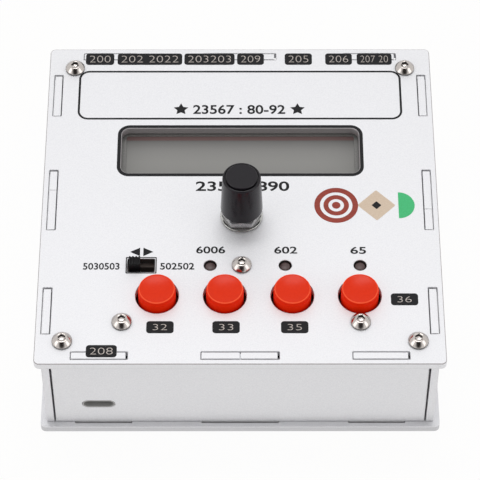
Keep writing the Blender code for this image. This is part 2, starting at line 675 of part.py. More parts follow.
def display():
    """The character display: board on pillars and a header, backlight, glass and metal frame."""
    board_bottom = DISPLAY_BOARD_TOP - BOARD_THICKNESS
    half_x = DISPLAY_BOARD_WIDTH / 2
    half_y = DISPLAY_BOARD_DEPTH / 2
    board = add("display_board", boxes_mesh("display_board", [(
        (DISPLAY_X - half_x, DISPLAY_Y - half_y, board_bottom),
        (DISPLAY_X + half_x, DISPLAY_Y + half_y, DISPLAY_BOARD_TOP))]), GREEN_BOARD)
    embed = board_bottom + BOARD_THICKNESS / 2
    pillars = []
    for side_x in (-1, 1):
        for side_y in (-1, 1):
            pillar_x = DISPLAY_X + side_x * (half_x - PILLAR_INSET)
            pillar_y = DISPLAY_Y + side_y * (half_y - PILLAR_INSET)
            radius = PILLAR_DIAMETER / 2 - SEAT_GAP
            pillars.append(((pillar_x, pillar_y), radius, MAIN_BOARD_TOP + SEAT_GAP, embed))
    header_half = DISPLAY_PIN_PITCH * DISPLAY_PIN_COUNT / 2
    header_x = DISPLAY_X + DISPLAY_HEADER_X_SHARE * half_x
    header_y = DISPLAY_Y + half_y - DISPLAY_HEADER_INSET
    header = [(
        (header_x - header_half, header_y - DISPLAY_HEADER_WIDTH / 2, MAIN_BOARD_TOP + SEAT_GAP),
        (header_x + header_half, header_y + DISPLAY_HEADER_WIDTH / 2, embed))]
    join(board, add("display_pillars", rods_mesh("display_pillars", pillars), None, CUTTERS))
    join(board, add("display_header", boxes_mesh("display_header", header), None, CUTTERS))

    frame_x = VIEW_WIDTH / 2 + FRAME_SIDE_RIM
    bottom = FRAME_TOP - FRAME_HEIGHT

    def span(inset_x, inset_y, low, high):
        return (
            (DISPLAY_X - frame_x + inset_x, DISPLAY_Y - FRAME_REACH + inset_y, low),
            (DISPLAY_X + frame_x - inset_x, DISPLAY_Y + FRAME_REACH - inset_y, high))

    shell = boxes_mesh("display_frame", [span(0, 0, bottom, FRAME_TOP)])
    frame = add("display_frame", shell, BLACK_STEEL)
    hollow = span(FRAME_WALL, FRAME_WALL, bottom - OVERRUN, FRAME_TOP - FRAME_WALL)
    view = span(FRAME_SIDE_RIM, FRAME_LONG_RIM, bottom, FRAME_TOP + OVERRUN)
    cut(frame, add("frame_hollow", boxes_mesh("frame_hollow", [hollow]), None, CUTTERS))
    cut(frame, add("frame_view", boxes_mesh("frame_view", [view]), None, CUTTERS))
    inset = FRAME_WALL + SEAT_GAP
    glass_top = FRAME_TOP - FRAME_WALL - SEAT_GAP
    glass_bottom = glass_top - GLASS_THICKNESS
    glass = boxes_mesh("display_glass", [span(inset, inset, glass_bottom, glass_top)])
    add("display_glass", glass, DISPLAY_GLASS)
    light = boxes_mesh("display_backlight", [span(inset, inset, bottom, glass_bottom - SEAT_GAP)])
    add("display_backlight", light, LIGHT_GUIDE)


def push_button(number, x):
    """A key switch body on the button board, and the cap whose stem slides in it."""
    seat = BUTTON_BOARD_TOP + SEAT_GAP
    body_top = seat + SWITCH_HEIGHT
    half = SWITCH_WIDTH / 2
    name = f"button_switch_{number}"
    body = add(name, boxes_mesh(name, [
        ((x - half, BUTTON_ROW_Y - half, seat), (x + half, BUTTON_ROW_Y + half, body_top))]), BLACK_PLASTIC)
    stem_bottom = body_top - STEM_DEPTH
    bore_bottom = stem_bottom - BUTTON_TRAVEL - CAP_STOP_GAP
    bore_radius = STEM_DIAMETER / 2 + STEM_CLEARANCE
    bore = [((x, BUTTON_ROW_Y), bore_radius, bore_bottom, body_top + OVERRUN)]
    cut(body, add(f"{name}_bore", rods_mesh(f"{name}_bore", bore), None, CUTTERS))

    cap_top = TOP + CAP_RISE
    rim = body_top + BUTTON_TRAVEL + CAP_STOP_GAP
    radius = CAP_DIAMETER / 2
    flat = radius - CAP_FILLET
    stem = STEM_DIAMETER / 2
    profile = []
    for share in CAP_DISH_SHARES:
        profile.append((share * flat, cap_top - CAP_DISH * (1 - share ** 2)))
    for step in range(1, FILLET_STEPS + 1):
        turn = math.pi / 2 * step / FILLET_STEPS
        fall = CAP_FILLET * (1 - math.cos(turn))
        profile.append((flat + CAP_FILLET * math.sin(turn), cap_top - fall))
    profile += [(radius, rim), (stem, rim), (stem, stem_bottom), (0, stem_bottom)]
    cap = turned(f"button_cap_{number}", profile, (x, BUTTON_ROW_Y), RED_PLASTIC)
    hang(cap, joint_empty(f"button_{number}_axis", (x, BUTTON_ROW_Y, rim)))


def slide_switch():
    """The mode switch: a body with an open slot, and the lever in it, at rest at the left."""
    seat = BUTTON_BOARD_TOP + SEAT_GAP
    body_top = seat + SLIDE_HEIGHT
    half_x = APERTURE_WIDTH / 2 + SLIDE_END_WALL
    half_y = SLIDE_DEPTH / 2
    body = add("slide_switch_body", boxes_mesh("slide_switch_body", [(
        (SLIDE_X - half_x, CONTROL_ROW_Y - half_y, seat),
        (SLIDE_X + half_x, CONTROL_ROW_Y + half_y, body_top))]), BLACK_PLASTIC)
    open_x = APERTURE_WIDTH / 2
    open_y = APERTURE_DEPTH / 2
    aperture = boxes_mesh("slide_aperture", [(
        (SLIDE_X - open_x, CONTROL_ROW_Y - open_y, body_top - LEVER_SINK - SEAT_GAP),
        (SLIDE_X + open_x, CONTROL_ROW_Y + open_y, body_top + OVERRUN))])
    cut(body, add("slide_aperture", aperture, None, CUTTERS))

    rest_x = SLIDE_X - LEVER_TRAVEL / 2
    low = (-LEVER_WIDTH / 2, -LEVER_DEPTH / 2, -LEVER_SINK)
    high = (LEVER_WIDTH / 2, LEVER_DEPTH / 2, TOP + LEVER_RISE - body_top)
    lever = add("slide_switch_lever", boxes_mesh("slide_switch_lever", [(low, high)]), BLACK_PLASTIC)
    lever.location = (rest_x, CONTROL_ROW_Y, body_top)
    bevel = lever.modifiers.new("soft_edges", "BEVEL")
    bevel.width = LEVER_BEVEL
    bevel.segments = 1
    hang(lever, joint_empty("mode_slide_axis", (rest_x, CONTROL_ROW_Y, body_top)))


def lamp(number, x):
    """A small domed lamp on two leads, its tip just under the top plate's face."""
    radius = LAMP_DIAMETER / 2
    tip = TOP - LAMP_RECESS
    foot = tip - LAMP_HEIGHT
    profile = []
    for step in range(FILLET_STEPS + 1):
        turn = math.pi / 2 * step / FILLET_STEPS
        profile.append((radius * math.sin(turn), tip - radius * (1 - math.cos(turn))))
    flange = radius + LAMP_FLANGE
    ledge = foot + LAMP_FLANGE_HEIGHT
    profile += [(radius, ledge), (flange, ledge), (flange, foot), (0, foot)]
    made = turned(f"indicator_lamp_{number}", profile, (x, CONTROL_ROW_Y), LAMP_RED, SMALL_STEPS)
    half = LAMP_LEAD_WIDTH / 2
    leads = []
    for side in (-1, 1):
        lead_x = x + side * LAMP_LEAD_PITCH / 2
        leads.append((
            (lead_x - half, CONTROL_ROW_Y - half, BUTTON_BOARD_TOP + SEAT_GAP),
            (lead_x + half, CONTROL_ROW_Y + half, foot + LAMP_FLANGE_HEIGHT / 2)))
    name = f"lamp_leads_{number}"
    join(made, add(name, boxes_mesh(name, leads), None, CUTTERS))


def encoder():
    """The rotary encoder: body with bushing, washer, nut, push rod, turning shaft and its knob."""
    seat = BUTTON_BOARD_TOP + SEAT_GAP
    body_top = seat + ENCODER_HEIGHT
    half = ENCODER_WIDTH / 2
    place = (ENCODER_X, ENCODER_Y)
    body = add("encoder_body", boxes_mesh("encoder_body", [(
        (ENCODER_X - half, ENCODER_Y - half, seat),
        (ENCODER_X + half, ENCODER_Y + half, body_top - SEAT_GAP))]), NICKEL)
    bushing = [(place, BUSHING_RADIUS, body_top - ENCODER_HEIGHT / 2, TOP + BUSHING_RISE)]
    join(body, add("bushing", rods_mesh("bushing", bushing, ROUND_STEPS), None, CUTTERS))
    rod_bottom = seat + PUSH_TRAVEL + 2 * PUSH_STOP_GAP
    rod_top = rod_bottom + PUSH_ROD_LENGTH
    shaft_bottom = rod_top + SEAT_GAP
    step_z = shaft_bottom - PUSH_TRAVEL - PUSH_STOP_GAP
    shaft_bore = SHAFT_DIAMETER / 2 + SHAFT_CLEARANCE
    rod_bore = PUSH_ROD_DIAMETER / 2 + SHAFT_CLEARANCE
    bore_top = TOP + BUSHING_RISE + OVERRUN
    bore = [(0, bore_top), (shaft_bore, bore_top), (shaft_bore, step_z), (rod_bore, step_z)]
    bore += [(rod_bore, seat + PUSH_STOP_GAP), (0, seat + PUSH_STOP_GAP)]
    cut(body, turned("encoder_bore", bore, place, None, ROUND_STEPS, CUTTERS))

    washer_bottom = TOP + SEAT_GAP
    nut_bottom = washer_bottom + WASHER_THICKNESS + SEAT_GAP
    hole = circle(*place, BUSHING_HOLE_RADIUS)
    washer = circle(*place, BUSHING_HOLE_RADIUS + WASHER_BRIM, FINE_STEPS)
    flat_piece("encoder_washer", [washer, hole], washer_bottom, WASHER_THICKNESS, NICKEL)
    nut = circle(*place, 2 * (BUSHING_HOLE_RADIUS + NUT_WALL) / math.sqrt(3), 6)
    flat_piece("encoder_nut", [nut, hole], nut_bottom, NUT_HEIGHT, NICKEL)

    push_axis = joint_empty("knob_push_axis", (*place, rod_bottom))
    turn_axis = joint_empty("knob_turn_axis", (*place, KNOB_BOTTOM))
    hang(turn_axis, push_axis)
    rod_radius = PUSH_ROD_DIAMETER / 2
    rod = [(0, rod_top), (rod_radius, rod_top), (rod_radius, rod_bottom), (0, rod_bottom)]
    hang(turned("encoder_push_rod", rod, place, BLACK_PLASTIC, SMALL_STEPS), push_axis)

    radius = SHAFT_DIAMETER / 2
    shaft_top = KNOB_TOP - KNOB_CAP_THICKNESS - SEAT_GAP
    post = [(0, shaft_top), (radius, shaft_top), (radius, shaft_bottom), (0, shaft_bottom)]
    shaft = turned("encoder_shaft", post, place, NICKEL)
    flat = boxes_mesh("shaft_flat", [(
        (ENCODER_X - SHAFT_DIAMETER, ENCODER_Y + radius - SHAFT_FLAT, KNOB_BOTTOM),
        (ENCODER_X + SHAFT_DIAMETER, ENCODER_Y + SHAFT_DIAMETER, shaft_top + OVERRUN))])
    cut(shaft, add("shaft_flat", flat, None, CUTTERS))
    hang(shaft, turn_axis)

    base = KNOB_BASE_DIAMETER / 2
    top = KNOB_TOP_DIAMETER / 2
    socket = SHAFT_DIAMETER / 2 + SHAFT_CLEARANCE
    socket_top = KNOB_TOP - KNOB_CAP_THICKNESS
    profile = [(0, KNOB_TOP), (top - KNOB_CHAMFER, KNOB_TOP), (top, KNOB_TOP - KNOB_CHAMFER)]
    profile += [(base, KNOB_BOTTOM), (socket, KNOB_BOTTOM), (socket, socket_top), (0, socket_top)]
    hang(turned("knob", profile, place, KNOB_BLACK, FINE_STEPS), turn_axis)


def audio_jack(number, x):
    """A rear audio socket: a block on the main board, its nozzle through the rear wall."""
    front = INSIDE_Y - WALL_END_GAP
    half = JACK_WIDTH / 2
    low = MAIN_BOARD_TOP + SEAT_GAP
    name = f"audio_jack_{number}"
    body = add(name, boxes_mesh(name, [
        ((x - half, front - JACK_DEPTH, low), (x + half, front, low + JACK_HEIGHT))]), BLACK_PLASTIC)
    axis = (x, JACK_AXIS_Z)
    nozzle = [(axis, JACK_BORE / 2 + NOZZLE_WALL, front - JACK_DEPTH / 2, SOCKET_MOUTH)]
    bore = [(axis, JACK_BORE / 2, SOCKET_MOUTH - JACK_BORE_DEPTH, SOCKET_MOUTH + OVERRUN)]
    join(body, add(f"{name}_nozzle", rods_mesh(f"{name}_nozzle", nozzle, along="Y"), None, CUTTERS))
    cut(body, add(f"{name}_bore", rods_mesh(f"{name}_bore", bore, along="Y"), None, CUTTERS))


def usb_c_socket(name, x, side):
    """A USB-C socket, its mouth level with a wall's outer face: side is -1 at the front."""
    mouth = side * SOCKET_MOUTH

    def stadium(label, width, height, start, depth, collection):
        outline = rounded_rectangle(0, 0, width, height, height / 2 - WELD)
        made = add(label, flat_mesh(label, [outline], depth), STAINLESS, collection)
        made.rotation_euler = (math.pi / 2, 0, 0)
        made.location = (x, start - side * depth / 2, USB_C_AXIS_Z)
        return made

    shell = stadium(name, USB_C_WIDTH, USB_C_HEIGHT, mouth, USB_C_DEPTH, None)
    width = USB_C_WIDTH - 2 * USB_C_SHELL
    height = USB_C_HEIGHT - 2 * USB_C_SHELL
    start = mouth + side * OVERRUN
    depth = USB_C_CAVITY_DEPTH + OVERRUN
    cut(shell, stadium(f"{name}_hollow", width, height, start, depth, CUTTERS))
    root = mouth - side * (USB_C_CAVITY_DEPTH + (USB_C_DEPTH - USB_C_CAVITY_DEPTH) / 2)
    tip = mouth - side * (USB_C_CAVITY_DEPTH - USB_C_TONGUE_LENGTH)
    tongue = [(
        (x - USB_C_TONGUE_WIDTH / 2, min(root, tip), USB_C_AXIS_Z - USB_C_TONGUE_HEIGHT / 2),
        (x + USB_C_TONGUE_WIDTH / 2, max(root, tip), USB_C_AXIS_Z + USB_C_TONGUE_HEIGHT / 2))]
    join(shell, add(f"{name}_tongue", boxes_mesh(f"{name}_tongue", tongue), None, CUTTERS))


def usb_a_socket(x):
    """The USB-A socket for a keyboard: a metal shell open to the rear, its tongue near the top."""
    low = MAIN_BOARD_TOP + SEAT_GAP
    high = low + USB_A_HEIGHT
    half = USB_A_WIDTH / 2
    shell = add("usb_a_socket", boxes_mesh("usb_a_socket", [
        ((x - half, SOCKET_MOUTH - USB_A_DEPTH, low), (x + half, SOCKET_MOUTH, high))]), STAINLESS)
    hollow = [(
        (x - half + USB_A_SHELL, SOCKET_MOUTH - USB_A_CAVITY_DEPTH, low + USB_A_SHELL),
        (x + half - USB_A_SHELL, SOCKET_MOUTH + OVERRUN, high - USB_A_SHELL))]
    cut(shell, add("usb_a_hollow", boxes_mesh("usb_a_hollow", hollow), None, CUTTERS))
    tongue_top = high - USB_A_SHELL - USB_A_TONGUE_GAP
    root = SOCKET_MOUTH - USB_A_CAVITY_DEPTH
    tongue_half = half - USB_A_SHELL - USB_A_TONGUE_GAP
    tongue = [(
        (x - tongue_half, root - (USB_A_DEPTH - USB_A_CAVITY_DEPTH) / 2, tongue_top - USB_A_TONGUE_HEIGHT),
        (x + tongue_half, root + USB_A_TONGUE_LENGTH, tongue_top))]
    join(shell, add("usb_a_tongue", boxes_mesh("usb_a_tongue", tongue), None, CUTTERS))


def microcontroller():
    """The processor: a flat package with leads on all sides, beside the header of the button board."""
    seat = MAIN_BOARD_TOP + SEAT_GAP
    half = CHIP_WIDTH / 2
    x = LINK_X - LINK_HEADER_LENGTH / 2 - CHIP_GAP - CHIP_LEAD_LENGTH - half
    y = LINK_Y
    body = add("microcontroller", boxes_mesh("microcontroller", [
        ((x - half, y - half, seat), (x + half, y + half, seat + CHIP_THICKNESS))]), BLACK_PLASTIC)
    reach = half + CHIP_LEAD_LENGTH
    lead_half = CHIP_LEAD_WIDTH / 2
    lead_low = seat + (CHIP_THICKNESS - CHIP_LEAD_THICKNESS) / 2
    lead_high = lead_low + CHIP_LEAD_THICKNESS
    strips = []
    for lead in range(CHIP_LEADS):
        along = (lead - (CHIP_LEADS - 1) / 2) * CHIP_LEAD_PITCH
        for side in (-1, 1):
            near, far = sorted((side * (half - CHIP_LEAD_LENGTH / 2), side * reach))
            low = along - lead_half
            high = along + lead_half
            strips.append(((x + near, y + low, lead_low), (x + far, y + high, lead_high)))
            strips.append(((x + low, y + near, lead_low), (x + high, y + far, lead_high)))
    join(body, add("chip_leads", boxes_mesh("chip_leads", strips), None, CUTTERS))


def sounder():
    """The round sounder for the side tone, with its port in the top."""
    radius = SOUNDER_DIAMETER / 2
    hole = SOUNDER_HOLE / 2
    bottom = MAIN_BOARD_TOP + SEAT_GAP
    top = bottom + SOUNDER_HEIGHT
    profile = [(0, top - SOUNDER_HOLE_DEPTH), (hole, top - SOUNDER_HOLE_DEPTH), (hole, top)]
    profile += [(radius, top), (radius, bottom), (0, bottom)]
    place = (SOUNDER_X_SHARE * HALF_WIDTH, SOUNDER_Y_SHARE * HALF_DEPTH)
    turned("sounder", profile, place, BLACK_PLASTIC)


def main():
    """Builds the keyer, from the case to the small parts on its boards."""
    top_plate()
    bottom_plate()
    walls()
    screws()
    corner_posts()
    feet()
    main_board()
    button_board()
    display()
    for number, share in enumerate(BUTTON_X_SHARES, 1):
        push_button(number, share * HALF_WIDTH)
    slide_switch()
    for number, share in enumerate(LAMP_X_SHARES, 1):
        lamp(number, share * HALF_WIDTH)
    encoder()
    usb_c_x, usb_a_x, *jack_places = rear_socket_places()
    for number, x in enumerate(jack_places, 1):
        audio_jack(number, x)
    usb_c_socket("front_usb_c_socket", FRONT_USB_X, -1)
    usb_c_socket("rear_usb_c_socket", usb_c_x, 1)
    usb_a_socket(usb_a_x)
    microcontroller()
    sounder()


main()
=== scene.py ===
"""Looks of the morse code keyer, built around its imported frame.

A bead-blasted aluminium box with a character display, a speed knob, red message buttons, a mode slide
switch, indicator lamps and a row of rear sockets. Metres, +Z up, front towards -Y, as in the frame.
"""

import json
import logging
import math
from dataclasses import dataclass, field, replace
from enum import Enum, IntEnum
from typing import NamedTuple, Sequence

import bmesh
import bpy
import numpy as np
from mathutils.geometry import tessellate_polygon
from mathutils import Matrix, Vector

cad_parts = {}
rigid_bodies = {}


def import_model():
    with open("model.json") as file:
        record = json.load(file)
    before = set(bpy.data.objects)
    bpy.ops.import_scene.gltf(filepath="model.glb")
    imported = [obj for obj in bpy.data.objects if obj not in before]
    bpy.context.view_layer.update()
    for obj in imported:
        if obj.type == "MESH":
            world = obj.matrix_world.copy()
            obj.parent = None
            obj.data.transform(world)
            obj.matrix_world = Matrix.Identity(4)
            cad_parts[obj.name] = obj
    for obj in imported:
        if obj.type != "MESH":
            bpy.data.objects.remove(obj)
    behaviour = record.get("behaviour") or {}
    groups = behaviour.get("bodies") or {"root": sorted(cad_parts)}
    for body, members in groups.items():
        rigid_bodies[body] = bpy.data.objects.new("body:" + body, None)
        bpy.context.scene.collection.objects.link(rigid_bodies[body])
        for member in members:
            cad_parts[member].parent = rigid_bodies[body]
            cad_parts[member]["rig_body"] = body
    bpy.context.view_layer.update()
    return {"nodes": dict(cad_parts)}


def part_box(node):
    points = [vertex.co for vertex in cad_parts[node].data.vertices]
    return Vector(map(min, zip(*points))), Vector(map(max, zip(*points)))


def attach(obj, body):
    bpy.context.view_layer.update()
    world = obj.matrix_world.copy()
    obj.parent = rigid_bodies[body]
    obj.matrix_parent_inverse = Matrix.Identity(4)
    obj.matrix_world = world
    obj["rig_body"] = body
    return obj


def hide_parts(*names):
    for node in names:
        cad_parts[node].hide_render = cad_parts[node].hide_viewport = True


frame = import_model()

LOG = logging.getLogger("keyer")
# Points that lie nearer to each other than this are merged, in metres.
WELD = 1e-6
# Outlines are filled at this scale, because the fill drops points that lie too near to each other.
FLAT_SCALE = 1000.0
# An edge sharper than this parts the shading of its two faces.
SHARP_ANGLE = math.radians(35)
# Along an outline, longer steps than this are straight sides and are shaded flat, in metres.
STRAIGHT = 0.0012
# Steps of a rounded arris.
ARRIS_STEPS = 2

Array = np.ndarray
Tree = bpy.types.NodeTree
Socket = bpy.types.NodeSocket
Place = tuple[float, float]
Point = tuple[float, float, float]
Colour = tuple[float, float, float, float]

WHITE: Colour = (1.0, 1.0, 1.0, 1.0)
BLACK: Colour = (0.0, 0.0, 0.0, 1.0)
# The noise seldom leaves this range, which is stretched to the range from 0 to 1.
NOISE_RANGE: Place = (0.3, 0.7)


class Axes(Enum):
    """Which world axes a shape's own first, second and third axes lie along."""

    UPRIGHT = (0, 1, 2)
    ALONG_Y = (0, 2, 1)
    ALONG_X = (1, 2, 0)


class Box(NamedTuple):
    """Lowest and highest corner of a CAD node."""

    low: Array
    high: Array

    @property
    def size(self) -> Array:
        """Lengths of its edges."""
        return self.high - self.low

    @property
    def centre(self) -> Array:
        """Its middle."""
        return (self.low + self.high) / 2


def linear(code: str) -> Colour:
    """Turns an sRGB hex colour into linear light.

    A channel c above 0.04045 becomes ((c + 0.055) / 1.055) to the power 2.4, and c / 12.92 below it.

    Args:
        code: The colour, such as "#C8C9CB".

    Returns:
        Red, green and blue in linear light, and an alpha of one.
    """
    channels = np.array([int(code[start:start + 2], 16) for start in (1, 3, 5)]) / 255
    light = np.where(channels > 0.04045, ((channels + 0.055) / 1.055) ** 2.4, channels / 12.92)
    return (*light.tolist(), 1.0)


def link(name: str, data: bpy.types.ID) -> bpy.types.Object:
    """Puts data into the scene.

    Args:
        name: The new object's name.
        data: Its mesh, curve, lamp or camera.

    Returns:
        The new object.
    """
    made = bpy.data.objects.new(name, data)
    bpy.context.scene.collection.objects.link(made)
    return made


def emptied(owner: bpy.types.Material | bpy.types.World) -> Tree:
    """Gives a material or the world an empty node tree.

    Args:
        owner: The material or the world.

    Returns:
        The tree.
    """
    owner.use_nodes = True
    owner.node_tree.nodes.clear()
    return owner.node_tree


def add_node(tree: Tree, kind: str, settings: dict[str, object],
             inputs: dict[str | int, object]) -> bpy.types.Node:
    """Adds a node to a material or to the world.

    Args:
        tree: The node tree.
        kind: The node's type.
        settings: Values of the node's own properties.
        inputs: Sockets by name or number, each given a value or linked to another node's output.

    Returns:
        The new node.
    """
    node = tree.nodes.new(kind)
    for key, value in settings.items():
        setattr(node, key, value)
    for key, value in inputs.items():
        if isinstance(value, Socket):
            tree.links.new(value, node.inputs[key])
        else:
            node.inputs[key].default_value = value
    return node


def maths(tree: Tree, operation: str, *values: object) -> Socket:
    """Result of a calculation with one or two values, each a number or a socket."""
    return add_node(tree, "ShaderNodeMath", {"operation": operation}, dict(enumerate(values))).outputs[0]


def mix_colours(tree: Tree, factor: object, low: object, high: object) -> Socket:
    """Mixes two colours, each a value or a socket, by a factor."""
    return add_node(tree, "ShaderNodeMix", {"data_type": "RGBA"}, {0: factor, 6: low, 7: high}).outputs[2]


def numbered(stem: str, count: int) -> list[str]:
    """Names of the CAD nodes of one kind, which are numbered from 1."""
    return [f"{stem}_{number}" for number in range(1, count + 1)]


def box_of(node: str) -> Box:
    """The box round a CAD node."""
    low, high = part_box(node)
    return Box(np.array(low), np.array(high))


def centre_of(node: str) -> Array:
    """The middle of a CAD node's box."""
    return box_of(node).centre


def body_of(node: str) -> str:
    """The CAD body that a node belongs to."""
    return frame["nodes"][node]["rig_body"]


def unit(vectors: Array) -> Array:
    """Each vector divided by its own length."""
    return vectors / np.linalg.norm(vectors, axis=-1, keepdims=True)


def rectangle(centre: Sequence[float], size: Sequence[float]) -> Array:
    """The four corners of a rectangle, anticlockwise."""
    signs = np.array([(-1, -1), (1, -1), (1, 1), (-1, 1)])
    return np.asarray(centre)[:2] + signs * np.asarray(size)[:2] / 2


def ring(centre: Sequence[float], radius: float, count: int, turn: float = 0.0) -> Array:
    """Points of a circle or regular polygon: centre + radius * (cos t, sin t), the first at the turn."""
    turns = turn + 2 * math.pi * np.arange(count) / count
    return np.asarray(centre)[:2] + radius * np.column_stack([np.cos(turns), np.sin(turns)])


def rounded(corners: Array, radius: float | Array, steps: int) -> Array:
    """Rounds each corner of an outline with an arc.

    The arc's middle lies on the corner's bisector, and its points are the arc's two end spokes blended by
    sin((1 - t) w) / sin w and sin(t w) / sin w, where w is the angle between the spokes.

    Args:
        corners: The outline's corners, in order.
        radius: One radius for all corners, or one each.
        steps: Steps along an arc.

    Returns:
        The rounded outline's points.
    """
    radii = np.broadcast_to(radius, len(corners))[:, None]
    back = unit(np.roll(corners, 1, axis=0) - corners)
    ahead = unit(np.roll(corners, -1, axis=0) - corners)
    half = np.arccos(np.clip((back * ahead).sum(axis=1, keepdims=True), -1, 1)) / 2
    middle = corners + unit(back + ahead) * radii / np.sin(half)
    start = corners + back * radii / np.tan(half) - middle
    end = corners + ahead * radii / np.tan(half) - middle
    sweep = math.pi - 2 * half[:, None, :]
    share = np.linspace(0, 1, steps + 1)[None, :, None]
    spokes = np.sin((1 - share) * sweep) * start[:, None] + np.sin(share * sweep) * end[:, None]
    return (middle[:, None] + spokes / np.sin(sweep)).reshape(-1, 2)


def facing(loop: Array, outer: bool) -> Array:
    """Turns a loop so that an outer one runs anticlockwise and a hole runs clockwise.

    Twice the loop's area is the sum of x0 * y1 - x1 * y0 over its edges; clockwise it is negative.

    Args:
        loop: The loop's points.
        outer: True for an outline, False for a hole.

    Returns:
        The points in the wanted order.
    """
    nxt = np.roll(loop, -1, axis=0)
    area = (loop[:, 0] * nxt[:, 1] - nxt[:, 0] * loop[:, 1]).sum()
    return loop if (area > 0) == outer else loop[::-1]


def inward(loop: Array) -> Array:
    """Mitred normals on a loop's left: (n0 + n1) / (1 + n0 . n1), of the two edges that meet at a point.

    Args:
        loop: The loop's points.

    Returns:
        A normal for each point.
    """
    ahead = unit(np.roll(loop, -1, axis=0) - loop)
    after = np.column_stack([-ahead[:, 1], ahead[:, 0]])
    before = np.roll(after, 1, axis=0)
    return (before + after) / (1 + (before * after).sum(axis=1, keepdims=True))


class Shape:
    """Points and faces of one piece while it is worked out, as grids and flat fills."""

    def __init__(self, axes: Axes = Axes.UPRIGHT) -> None:
        """Starts an empty shape.

        Args:
            axes: World axes that its own axes lie along.
        """
        self.axes = axes
        self.points: list[Array] = []
        self.faces: list[list[int]] = []
        self.smooth: list[bool] = []
        self.coats: list[int] = []
        self.count = 0

    def add(self, points: Array, faces: list[list[int]], smooth: list[bool],
            coats: list[int] | None = None) -> "Shape":
        """Adds points and the faces that index them.

        Args:
            points: Points along the shape's own axes.
            faces: Numbers of each face's points.
            smooth: Whether each face is shaded smooth.
            coats: Number of each face's finish, or None where all wear the first.

        Returns:
            This shape.
        """
        flat = points.reshape(-1, 3)
        placed = np.empty_like(flat)
        placed[:, list(self.axes.value)] = flat
        self.points.append(placed)
        self.faces += faces
        self.smooth += smooth
        self.coats += coats or [0] * len(faces)
        self.count += len(flat)
        return self

    def grid(self, points: Array, smooth: Array | bool = True,
             coats: Sequence[int] | int = 0) -> "Shape":
        """Adds a grid of quads whose last column joins its first.

        Args:
            points: Rows of points, as (rows, columns, 3).
            smooth: Whether the quads are shaded smooth, for all of them or one each.
            coats: Number of the finish, for all of them or one for each row of quads.

        Returns:
            This shape.
        """
        rows, columns = points.shape[:2]
        index = np.arange(rows * columns).reshape(rows, columns) + self.count
        index = np.column_stack([index, index[:, :1]])
        quads = np.stack([index[:-1, :-1], index[:-1, 1:], index[1:, 1:], index[1:, :-1]], axis=-1)
        flags = np.broadcast_to(smooth, quads.shape[:2]).reshape(-1).tolist()
        worn = np.broadcast_to(np.reshape(coats, (-1, 1)), quads.shape[:2]).reshape(-1).tolist()
        return self.add(points, quads.reshape(-1, 4).tolist(), flags, worn)

    def fill(self, loops: Sequence[Array], level: float) -> "Shape":
        """Fills a flat outline and its holes with triangles.

        Args:
            loops: The outline, then its holes.
            level: The level that they lie at.

        Returns:
            This shape.
        """
        flat = [np.column_stack([loop, np.full(len(loop), level)]) for loop in loops]
        triangles = tessellate_polygon([(loop * FLAT_SCALE).tolist() for loop in flat])
        faces = [[corner + self.count for corner in triangle] for triangle in triangles]
        return self.add(np.concatenate(flat), faces, [False] * len(faces))

    def prism(self, loops: Sequence[Array], low: float, high: float, arris: float = 0.0,
              coats: Sequence[tuple[int, int]] | None = None) -> "Shape":
        """Adds a flat piece with rounded arrises.

        Every loop carries the same profile: with a from 0 to 90 degrees its point is moved into the
        material by arris * (1 - sin a) at the level low + arris * (1 - cos a), and the same below high.

        Args:
            loops: The outline, then its holes.
            low: Level of the lower face.
            high: Level of the upper face.
            arris: Radius of the arrises.
            coats: Numbers of the finishes of each loop's arrises and of its side.

        Returns:
            This shape.
        """
        turns = np.linspace(0, math.pi / 2, ARRIS_STEPS + 1) if arris else np.array([math.pi / 2])
        insets = arris * (1 - np.sin(turns))
        levels = low + arris * (1 - np.cos(turns))
        insets = np.concatenate([insets, insets[::-1]])
        levels = np.concatenate([levels, low + high - levels[::-1]])
        turned = [facing(loop, number == 0) for number, loop in enumerate(loops)]
        for number, loop in enumerate(turned):
            rows = loop[None] + insets[:, None, None] * inward(loop)[None]
            heights = np.broadcast_to(levels[:, None, None], (*rows.shape[:2], 1))
            smooth = np.ones((len(levels) - 1, len(loop)), bool)
            smooth[len(turns) - 1] = np.linalg.norm(np.roll(loop, -1, axis=0) - loop, axis=1) < STRAIGHT
            edge, side = coats[number] if coats else (0, 0)
            worn = np.full(len(levels) - 1, edge)
            worn[len(turns) - 1] = side
            self.grid(np.concatenate([rows, heights], axis=2), smooth=smooth, coats=worn)
        for level in (low, high):
            self.fill([loop + arris * inward(loop) for loop in turned], level)
        return self

    def sweep(self, loops: Sequence[Array], levels: Sequence[float]) -> "Shape":
        """Adds a skin through outlines of equal length, one at each level."""
        rows = [np.column_stack([loop, np.full(len(loop), level)]) for loop, level in zip(loops, levels)]
        return self.grid(np.stack(rows))

    def turned(self, profile: Sequence[Place], centre: Sequence[float], steps: int,
               factors: Array | None = None, coats: Sequence[int] | int = 0) -> "Shape":
        """Adds a turned surface: centre + radius * (cos t, sin t) at each height of the profile.

        Args:
            profile: Radius and height, from the lower end of the axis up the outer side.
            centre: The axis's place.
            steps: Steps round the axis.
            factors: Shares of the radius for each row and column, where it isn't round.
            coats: Number of the finish, for all faces or one for each step of the profile.

        Returns:
            This shape.
        """
        rows = np.asarray(profile, float)
        turns = 2 * math.pi * np.arange(steps) / steps
        radii = np.broadcast_to(rows[:, :1], (len(rows), steps)) * (1.0 if factors is None else factors)
        heights = np.broadcast_to(rows[:, 1:], radii.shape)
        across = centre[0] + radii * np.cos(turns)
        along = centre[1] + radii * np.sin(turns)
        return self.grid(np.stack([across, along, heights], axis=2), coats=coats)

